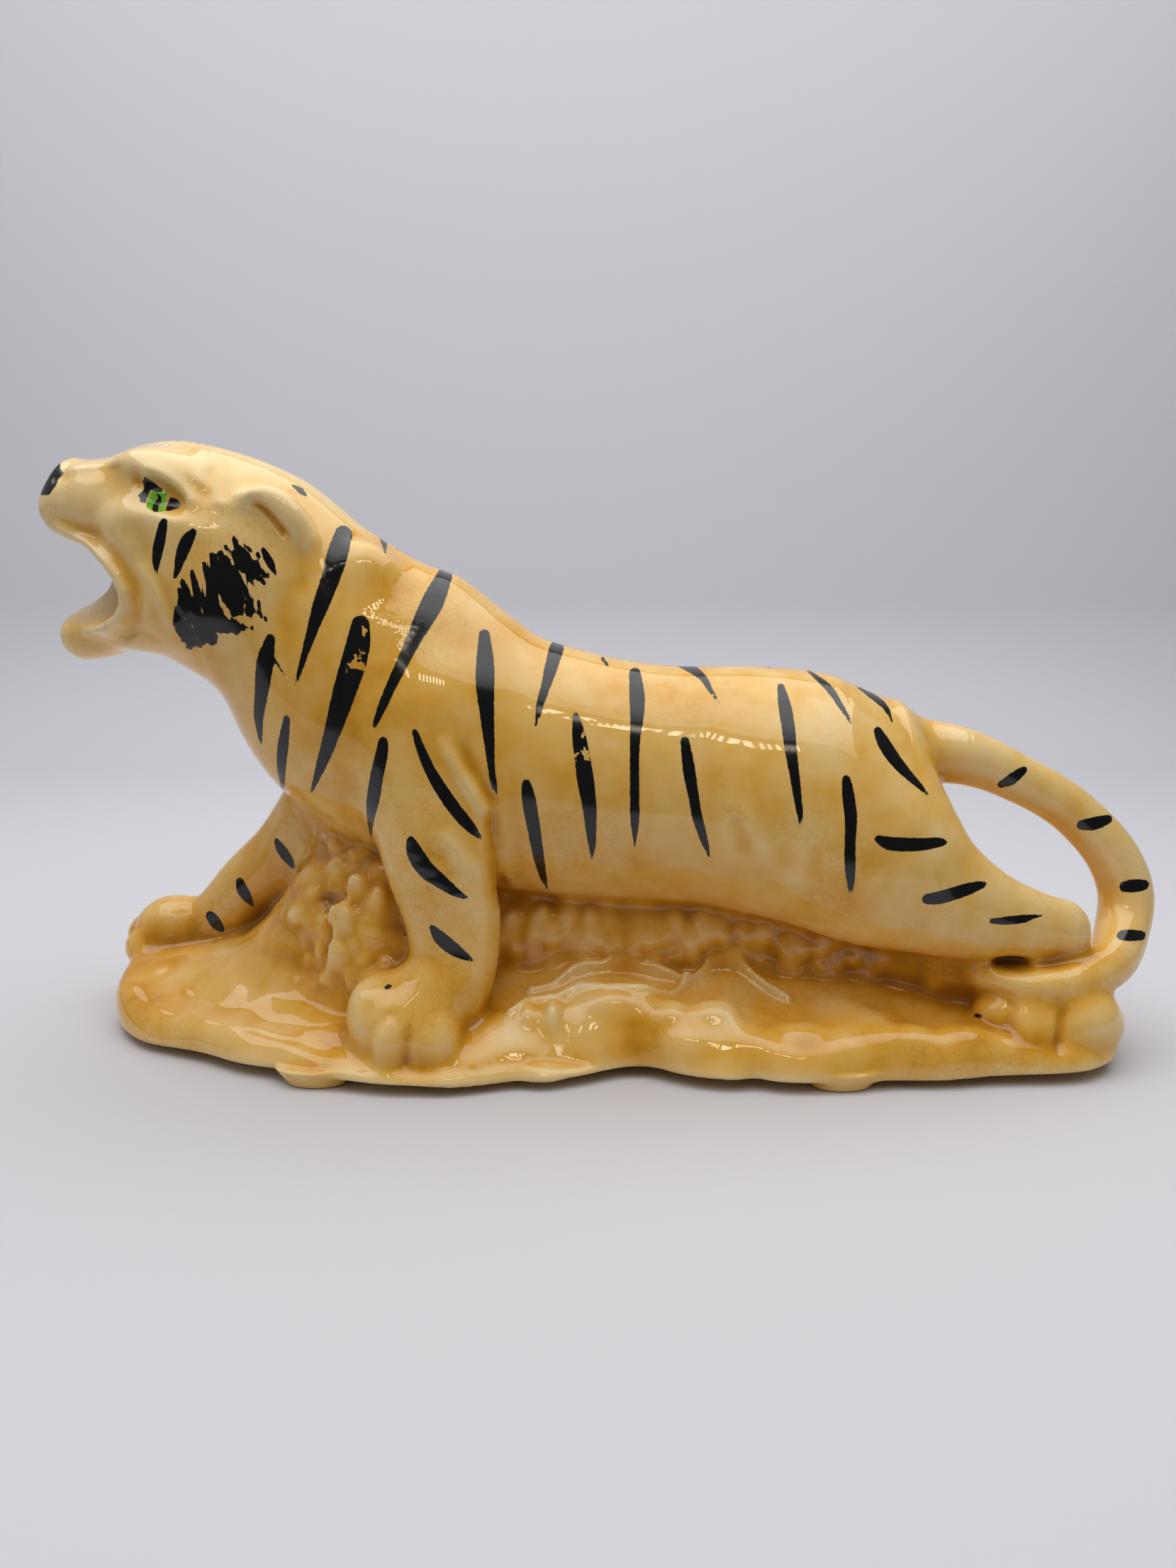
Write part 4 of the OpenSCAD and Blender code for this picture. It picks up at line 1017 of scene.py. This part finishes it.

# %% [markdown]
# ## Pools, and painted light and shade
# Glaze is liquid in the kiln: it leaves edges and gathers in hollows. A blurred copy of the field shows
# where, because the mean distance around a point of the skin is below zero in a hollow and above zero on an
# edge. The rock took more glaze than the body. Light and shade are painted into the same depth: painted
# shade where the haunch meets the rock, painted light on the ledge, and the face painted paler, most at the
# brow.

# %% Pools of glaze, and painted light and shade
def blurred(a, radius):
    """Mean over a box around each grid point, taken along one axis after the other."""
    n = max(1, int(round(radius / 1.1)))
    for axis in range(3):
        pad = [(n + 1, n) if k == axis else (0, 0) for k in range(3)]
        total = np.cumsum(np.pad(a, pad, mode="edge"), axis=axis, dtype=np.float64)
        ahead, behind = [slice(None)] * 3, [slice(None)] * 3
        ahead[axis], behind[axis] = slice(2 * n + 1, None), slice(None, -2 * n - 1)
        a = ((total[tuple(ahead)] - total[tuple(behind)]) / (2 * n + 1)).astype(np.float32)
    return a


def run_off_and_painted_light(x, z, rock, face):
    """Glaze that has run together, as a depth: more on rock and more low down. Painted shade makes it most
    where the haunch meets the rock, and painted light makes it less on the ledge, less on the face and least
    at the brow."""
    # painted shade: darker where the haunch overhangs the rock
    painted_shade_under_haunch = 3.6 * gauss(np.hypot(x - 112, (z - 30) * 3.0), 42.0)
    low = 2.4 * gauss(np.maximum(z - 15, 0), 30.0)
    # painted light: the ledge made lighter, as where light falls on it
    ledge = 4.0 * gauss(np.hypot((x - 45) / 75, (z - 31) / 15), 1.0)
    # painted light: the face made paler, most at the brow and the top of the head
    pale = 1.4 + 3.2 * np.clip((z - 158) / 26, 0, 1)
    return rock * (2.8 + painted_shade_under_haunch - ledge) - face * pale + low


rocky = {"base_plinth": 1.0, "foot_pads": 1.0, "planting_trough": 0.7, "rock_bank": 0.7, "front_rocks": 0.9,
         "tail_rocks": -0.8}  # how much glaze has run together there
face_names = ("head", "lower_jaw")
soft_fine = blurred(np.clip(clay, -5, 5), 3.0)
soft_wide = blurred(np.clip(clay, -12, 12), 9.0)
rock_share = blurred(np.array([rocky.get(n, 0.0) for n in sections], np.float32)[owner], 4.0)
on_face = np.isin(owner, [sections.index(n) for n in face_names])
face_share = blurred(on_face.astype(np.float32), 12.0)
print("rock over %.1f %% of the grid" % (100 * (rock_share > 0.5).mean()))

# %% Layers on the pieces
turned = dict.fromkeys(("torso", "head", "lower_jaw", "left_ear", "right_ear", "right_hind_leg"), mid_y)
turned["right_foreleg"] = 16.0
never = 200.0  # a plane behind everything, for pieces that are painted on the near side only
tuft_limit = 0.8  # keeps the middle of the tuft open to the dry brush
layer_limit = 20.0
for name, piece in pieces.items():
    p = spots(piece.data)
    x, z = p[:, 0] * mm, p[:, 2] * mm
    seen, at = on_sheet(p * mm, turned.get(name, never)), grid_place(p)
    strokes = far_leg_strokes if name == "right_foreleg" else stripes
    stroke = brush(seen, specks if name in rocky else strokes + specks)
    # glaze that has run together, with painted shade under the haunch and painted light on the ledge and the
    # face
    pool_and_painted_light = run_off_and_painted_light(x, z, sample(rock_share, at), sample(face_share, at))
    layers = {"stroke": stroke, "worn": brush(seen, chips), "fine_pool": -sample(soft_fine, at),
              "wide_pool_and_painted_light": pool_and_painted_light - sample(soft_wide, at)}
    if name in face_names:
        layers["stroke"] = np.maximum(stroke, patch(seen, eye_patches + [nose_patch]))
        layers["tuft"] = np.minimum(brush(seen, cheek_tuft), tuft_limit)
        layers["green"] = patch(seen, [iris])
        layers["mouth"] = -inside_line(x, z, lip_near)
    for key, value in layers.items():
        layer = piece.data.attributes.new(key, "FLOAT", "POINT")
        layer.data.foreach_set("value", np.clip(value, -layer_limit, layer_limit).astype(np.float32))
print("paint and pools on", len(pieces), "pieces,", len(pieces) - len(rocky), "of them striped")

# %% [markdown]
# ## Glaze
# The glaze is a yellow glass. It runs off edges, where it is thin and pale, and pools in hollows, where it is
# thick and amber. It crazes into a fine net as it cools. One node group mixes these from the layers of pooled
# glaze and painted light and shade, clouds and streaks, and a second one lays the enamel over it.

# %% Node helpers
def calc(tree, operation, *values):
    """A Math node whose sockets are linked or set. Returns its output."""
    n = tree.nodes.new("ShaderNodeMath")
    n.operation = operation
    for socket, v in zip(n.inputs, values):
        if isinstance(v, (int, float)):
            socket.default_value = v
        else:
            tree.links.new(v, socket)
    return n.outputs[0]


def spread(tree, value, low, high, to_low=0.0, to_high=1.0):
    """A smooth step of a value from one range to another."""
    n = tree.nodes.new("ShaderNodeMapRange")
    n.interpolation_type = "SMOOTHSTEP"
    tree.links.new(value, n.inputs[0])
    for socket, v in zip(n.inputs[1:5], (low, high, to_low, to_high)):
        socket.default_value = v
    return n.outputs[0]


def blend(tree, share, a, b):
    """A mix of two colours by a share."""
    n = tree.nodes.new("ShaderNodeMix")
    n.data_type = "RGBA"
    for socket, v in ((n.inputs[0], share), (n.inputs[6], a), (n.inputs[7], b)):
        if isinstance(v, (int, float, tuple)):
            socket.default_value = v
        else:
            tree.links.new(v, socket)
    return n.outputs[2]


def cloud(tree, scale, stretch=(1.0, 1.0, 1.0), detail=3.0, tilt=0.0):
    """Noise on Object coordinates, stretched along the axes and turned about Y. Returns its value."""
    where, fit, n = (tree.nodes.new("ShaderNode" + k) for k in ("TexCoord", "Mapping", "TexNoise"))
    tree.links.new(where.outputs["Object"], fit.inputs["Vector"])
    fit.inputs["Rotation"].default_value = (0, tilt, 0)
    fit.inputs["Scale"].default_value = stretch
    tree.links.new(fit.outputs[0], n.inputs["Vector"])
    n.inputs["Scale"].default_value = scale
    n.inputs["Detail"].default_value = detail
    return n.outputs[0]


def uneven(tree, noise, height, middle=0.5):
    """Noise made to swing about zero: height times the noise minus its middle."""
    return calc(tree, "MULTIPLY", calc(tree, "SUBTRACT", noise, middle), height)


def new_group(name, inputs, outputs):
    """An empty node group with its sockets. Returns the tree, its input and its output node."""
    tree = bpy.data.node_groups.new(name, "ShaderNodeTree")
    for way, sockets in (("INPUT", inputs), ("OUTPUT", outputs)):
        for key, kind in sockets.items():
            tree.interface.new_socket(key, in_out=way, socket_type="NodeSocket" + kind)
    return tree, tree.nodes.new("NodeGroupInput"), tree.nodes.new("NodeGroupOutput")


print("Blender", bpy.app.version_string, "node helpers")

# %% Glaze flow, with painted light and shade
flow, given, made = new_group("glaze_flow_and_painted_light", {"Fine Pool": "Float", "Wide Pool And Painted Light": "Float"},
                              {"Colour": "Color", "Roughness": "Float", "Height": "Float"})
pool_and_painted_light = calc(flow, "MULTIPLY", given.outputs["Fine Pool"], 0.54)
# the wide layer adds painted shade and painted light to the pooled glaze
for part in (calc(flow, "MULTIPLY", given.outputs["Wide Pool And Painted Light"], 0.085),
             uneven(flow, cloud(flow, 60.0, (1.0, 1.0, 0.22)), 1.0),  # streaks that run down
             uneven(flow, cloud(flow, 22.0), 1.0),  # clouds
             uneven(flow, cloud(flow, 95.0), 0.9)):  # mottling
    pool_and_painted_light = calc(flow, "ADD", pool_and_painted_light, part)
tones = flow.nodes.new("ShaderNodeValToRGB")
flow.links.new(spread(flow, pool_and_painted_light, -1.1, 1.5), tones.inputs[0])
# From thin and pale over yellow and amber to the brown of deep pools.
ramp = ((0.0, (0.92, 0.70, 0.34, 1)), (0.28, (0.86, 0.54, 0.152, 1)), (0.48, (0.80, 0.42, 0.056, 1)),
        (0.66, (0.66, 0.30, 0.016, 1)), (0.84, (0.46, 0.19, 0.009, 1)), (1.0, (0.24, 0.092, 0.008, 1)))
while len(tones.color_ramp.elements) < len(ramp):
    tones.color_ramp.elements.new(0.5)
for stop, (at, tone) in zip(tones.color_ramp.elements, ramp):
    stop.position, stop.color = at, tone
print("glaze in", len(ramp), "tones")

# %% Crazing
where, crackle, shift = (flow.nodes.new("ShaderNode" + k) for k in ("TexCoord", "TexVoronoi", "VectorMath"))
bent = flow.nodes.new("ShaderNodeTexNoise")  # bends the cells' straight edges
bent.inputs["Scale"].default_value = 150.0
flow.links.new(where.outputs["Object"], bent.inputs["Vector"])
shift.operation = "MULTIPLY_ADD"
flow.links.new(bent.outputs["Color"], shift.inputs[0])
shift.inputs[1].default_value = (0.004, 0.004, 0.004)
flow.links.new(where.outputs["Object"], shift.inputs[2])
crackle.feature = "DISTANCE_TO_EDGE"
crackle.inputs["Scale"].default_value = 330.0  # cells of about 3 mm
flow.links.new(shift.outputs[0], crackle.inputs["Vector"])
line = spread(flow, crackle.outputs["Distance"], 0.035, 0.0)
line = calc(flow, "MULTIPLY", line, spread(flow, cloud(flow, 26.0, detail=1.0), 0.47, 0.65, 0.0, 0.32))
colour = blend(flow, line, tones.outputs[0], (0.30, 0.13, 0.025, 1))
flow.links.new(colour, made.inputs["Colour"])
flow.links.new(spread(flow, cloud(flow, 45.0), 0.35, 0.7, 0.025, 0.07), made.inputs["Roughness"])
flow.links.new(cloud(flow, 120.0, detail=1.0), made.inputs["Height"])
print("glaze group with", len(flow.nodes), "nodes")

# %% Enamel
paint_inputs = {"Colour": "Color", "Roughness": "Float", "Paint": "Float", "Worn": "Float"}
enamel, given, made = new_group("brushed_enamel", paint_inputs, {"Colour": "Color", "Roughness": "Float"})
ragged = uneven(enamel, cloud(enamel, 700.0, detail=2.0), 0.5)
cover = spread(enamel, calc(enamel, "ADD", given.outputs["Paint"], ragged), -0.16, 0.16)
flake = uneven(enamel, cloud(enamel, 330.0, detail=4.0), 22.0, 0.56)
flake = spread(enamel, calc(enamel, "ADD", given.outputs["Worn"], flake), -0.2, 0.4)
cover = calc(enamel, "MULTIPLY", cover, calc(enamel, "SUBTRACT", 1.0, calc(enamel, "MULTIPLY", flake, 0.9)))
thin = spread(enamel, cloud(enamel, 260.0, (1.0, 1.0, 0.25)), 0.25, 0.8)
black = blend(enamel, thin, (0.0015, 0.0015, 0.002, 1), (0.005, 0.005, 0.005, 1))
enamel.links.new(blend(enamel, cover, given.outputs["Colour"], black), made.inputs["Colour"])
rough = calc(enamel, "ADD", given.outputs["Roughness"], calc(enamel, "MULTIPLY", cover, 0.09))
enamel.links.new(rough, made.inputs["Roughness"])
print("enamel group with", len(enamel.nodes), "nodes")

# %% [markdown]
# ## Materials
# All pieces carry the same glaze, whose depth comes from the layers of pooled glaze and painted light and
# shade, so the rock is deeper in tone than the body. The face has a material of its own, with a green iris, a
# paler mouth and the dry strokes on the cheek. A value that is the same all over, such as the index of
# refraction, is set on the shader itself.

# %% Looks
def glazed(name, face=False):
    """A glaze with brushed enamel. The face also has a green iris, a paler mouth and a tuft on the cheek."""
    look = bpy.data.materials.new(name)
    look.use_nodes = True
    tree = look.node_tree
    shader = tree.nodes["Principled BSDF"]
    coat, paint, bump = (tree.nodes.new("ShaderNode" + k) for k in ("Group", "Group", "Bump"))
    coat.node_tree, paint.node_tree = flow, enamel
    layer = {}
    for key in ("stroke", "worn", "fine_pool", "wide_pool_and_painted_light") + (("tuft", "green", "mouth") if face else ()):
        n = tree.nodes.new("ShaderNodeAttribute")
        n.attribute_name = key
        layer[key] = n.outputs["Fac"]
    tree.links.new(layer["fine_pool"], coat.inputs["Fine Pool"])
    tree.links.new(layer["wide_pool_and_painted_light"], coat.inputs["Wide Pool And Painted Light"])
    tree.links.new(layer["worn"], paint.inputs["Worn"])
    colour, mark = coat.outputs["Colour"], layer["stroke"]
    if face:
        colour = blend(tree, spread(tree, layer["mouth"], -0.5, 2.0, 0.0, 0.5), colour, (0.58, 0.50, 0.40, 1))
        lime = spread(tree, cloud(tree, 300.0), 0.3, 0.7)
        lime = blend(tree, lime, (0.10, 0.36, 0.015, 1), (0.25, 0.58, 0.05, 1))
        colour = blend(tree, spread(tree, layer["green"], -0.1, 0.1), colour, lime)
        dry = uneven(tree, cloud(tree, 520.0, (1, 1, 0.14), 2.0, -0.5), 3.6)
        mark = calc(tree, "MAXIMUM", mark, calc(tree, "ADD", calc(tree, "ADD", layer["tuft"], dry), 0.1))
    for a, b in ((colour, paint.inputs["Colour"]), (coat.outputs["Roughness"], paint.inputs["Roughness"]),
                 (mark, paint.inputs["Paint"]), (paint.outputs["Colour"], shader.inputs["Base Color"]),
                 (paint.outputs["Roughness"], shader.inputs["Roughness"]),
                 (coat.outputs["Height"], bump.inputs["Height"]), (bump.outputs[0], shader.inputs["Normal"])):
        tree.links.new(a, b)
    bump.inputs["Strength"].default_value = 0.06
    bump.inputs["Distance"].default_value = 0.0006
    shader.inputs["IOR"].default_value = 1.54
    return look


look_names = ("tiger_glaze", "face_glaze", "rock_glaze", "foot_glaze")
looks = {key: glazed(key, key == "face_glaze") for key in look_names}
for name, piece in pieces.items():
    rock = name in rocky and name != "foot_pads"
    look = "rock_glaze" if rock else "foot_glaze" if name == "foot_pads" else "tiger_glaze"
    piece.data.materials.append(looks["face_glaze" if name in face_names else look])
    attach(piece, "root")
    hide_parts(name)
print("glazes on", len(pieces), "pieces")

# %% [markdown]
# ## Studio
# The photo was taken in a small light tent: white paper sweeps up behind the figure, a pale roof lights it
# from above, and a row of small warm lamps sits at the roof's front edge and gives the small glints. The open
# front is darker. A weak fill stands for light from the room, and is kept out of reflections, because the
# photo shows no bright panel in front of the glaze.

# %% Paper and room
turn_back = np.linspace(0, np.pi / 2, 24)
bend = 0.12
bend_at = 0.50  # how far behind the figure the paper turns up
row_y = np.concatenate([[-0.30, 0.1], bend_at + bend * np.sin(turn_back), [bend_at + bend]])
row_z = np.concatenate([[0.0, 0.0], bend * (1 - np.cos(turn_back)), [1.6]])
row_x = np.array([-1.4, 1.4])
verts = np.stack([np.tile(row_x, len(row_y)), np.repeat(row_y, 2), np.repeat(row_z, 2)], 1)
first = np.arange(len(row_y) - 1) * 2
sweep_mesh = bpy.data.meshes.new("paper_sweep")
sweep_mesh.from_pydata(verts.tolist(), [], np.stack([first, first + 1, first + 3, first + 2], 1).tolist())
sweep_mesh.shade_smooth()
floor = bpy.data.objects.new("paper_sweep", sweep_mesh)
bpy.context.scene.collection.objects.link(floor)
paper = bpy.data.materials.new("white_paper")
paper.use_nodes = True
shader = paper.node_tree.nodes["Principled BSDF"]
shader.inputs["Base Color"].default_value = (0.66, 0.66, 0.70, 1)
shader.inputs["Roughness"].default_value = 0.7
sweep_mesh.materials.append(paper)
world = bpy.data.worlds.new("room")
bpy.context.scene.world = world
world.use_nodes = True
room = world.node_tree.nodes["Background"]
room.inputs["Color"].default_value = (0.5, 0.5, 0.54, 1)
room.inputs["Strength"].default_value = 0.2
print("paper sweep of", len(sweep_mesh.polygons), "faces")

# %% Lamps
def panel(name, place, aim, wide, deep, power):
    """A flat lamp that looks from its place at a point."""
    lamp = bpy.data.lights.new(name, "AREA")
    lamp.shape, lamp.size, lamp.size_y, lamp.energy = "RECTANGLE", wide, deep, power
    o = bpy.data.objects.new(name, lamp)
    o.location = place
    o.rotation_euler = (Vector(aim) - Vector(place)).to_track_quat("-Z", "Y").to_euler()
    bpy.context.scene.collection.objects.link(o)
    return o


roof = [  # y, depth and power of the roof's strips, brightest over the figure
    (-0.40, 0.12, 0.6), (-0.30, 0.08, 0.58), (0.0, 0.52, 4.5), (0.30, 0.08, 0.58), (0.39, 0.10, 0.72),
    (0.50, 0.12, 0.8)]
roof_height = 0.78
for n, (y, deep, power) in enumerate(roof):
    panel("tent_roof_%d" % n, (0.0, y, roof_height), (0.0, y, 0.0), 1.3, deep, power)
panel("tent_left", (-1.0, -0.05, 0.6), (-0.1, -0.05, 0.12), 1.5, 1.1, 1.6)
fill = panel("front_fill", (0.1, -0.64, 0.72), (0.05, -0.04, 0.06), 1.4, 0.36, 0.95)
fill.visible_glossy = False
lamp_pitch = 0.034
for n in (5, 8, 9, 10, 11, 12, 13, 14, 15):  # the places in the row whose glints show in the photo
    lamp = panel("lamp_%d" % n, (-0.35 + lamp_pitch * n, -0.47, 0.63), (0.03, -0.04, 0.1), 0.016, 0.06, 0.036)
    lamp.data.color = (1.0, 0.88, 0.70)
print(len(bpy.data.lights), "lamps")

# %% [markdown]
# ## Camera
# The photo was taken with a wide lens from close by, a little above the tiger's back and looking down. Lens
# and place were fitted to the outline of the figure. The plain view transform keeps the tones as lit.

# %% Camera
camera = bpy.data.cameras.new("photo_view")
camera.lens, camera.sensor_width = 29.295, 36.0
eye = bpy.data.objects.new("photo_view", camera)
eye.location = eye_place / mm
eye.rotation_euler = (np.radians(79.0), 0, 0)
bpy.context.scene.collection.objects.link(eye)
bpy.context.scene.camera = eye
bpy.context.scene.view_settings.view_transform = "Standard"
print("camera with a lens of", camera.lens, "mm,", bpy.context.scene.view_settings.view_transform)
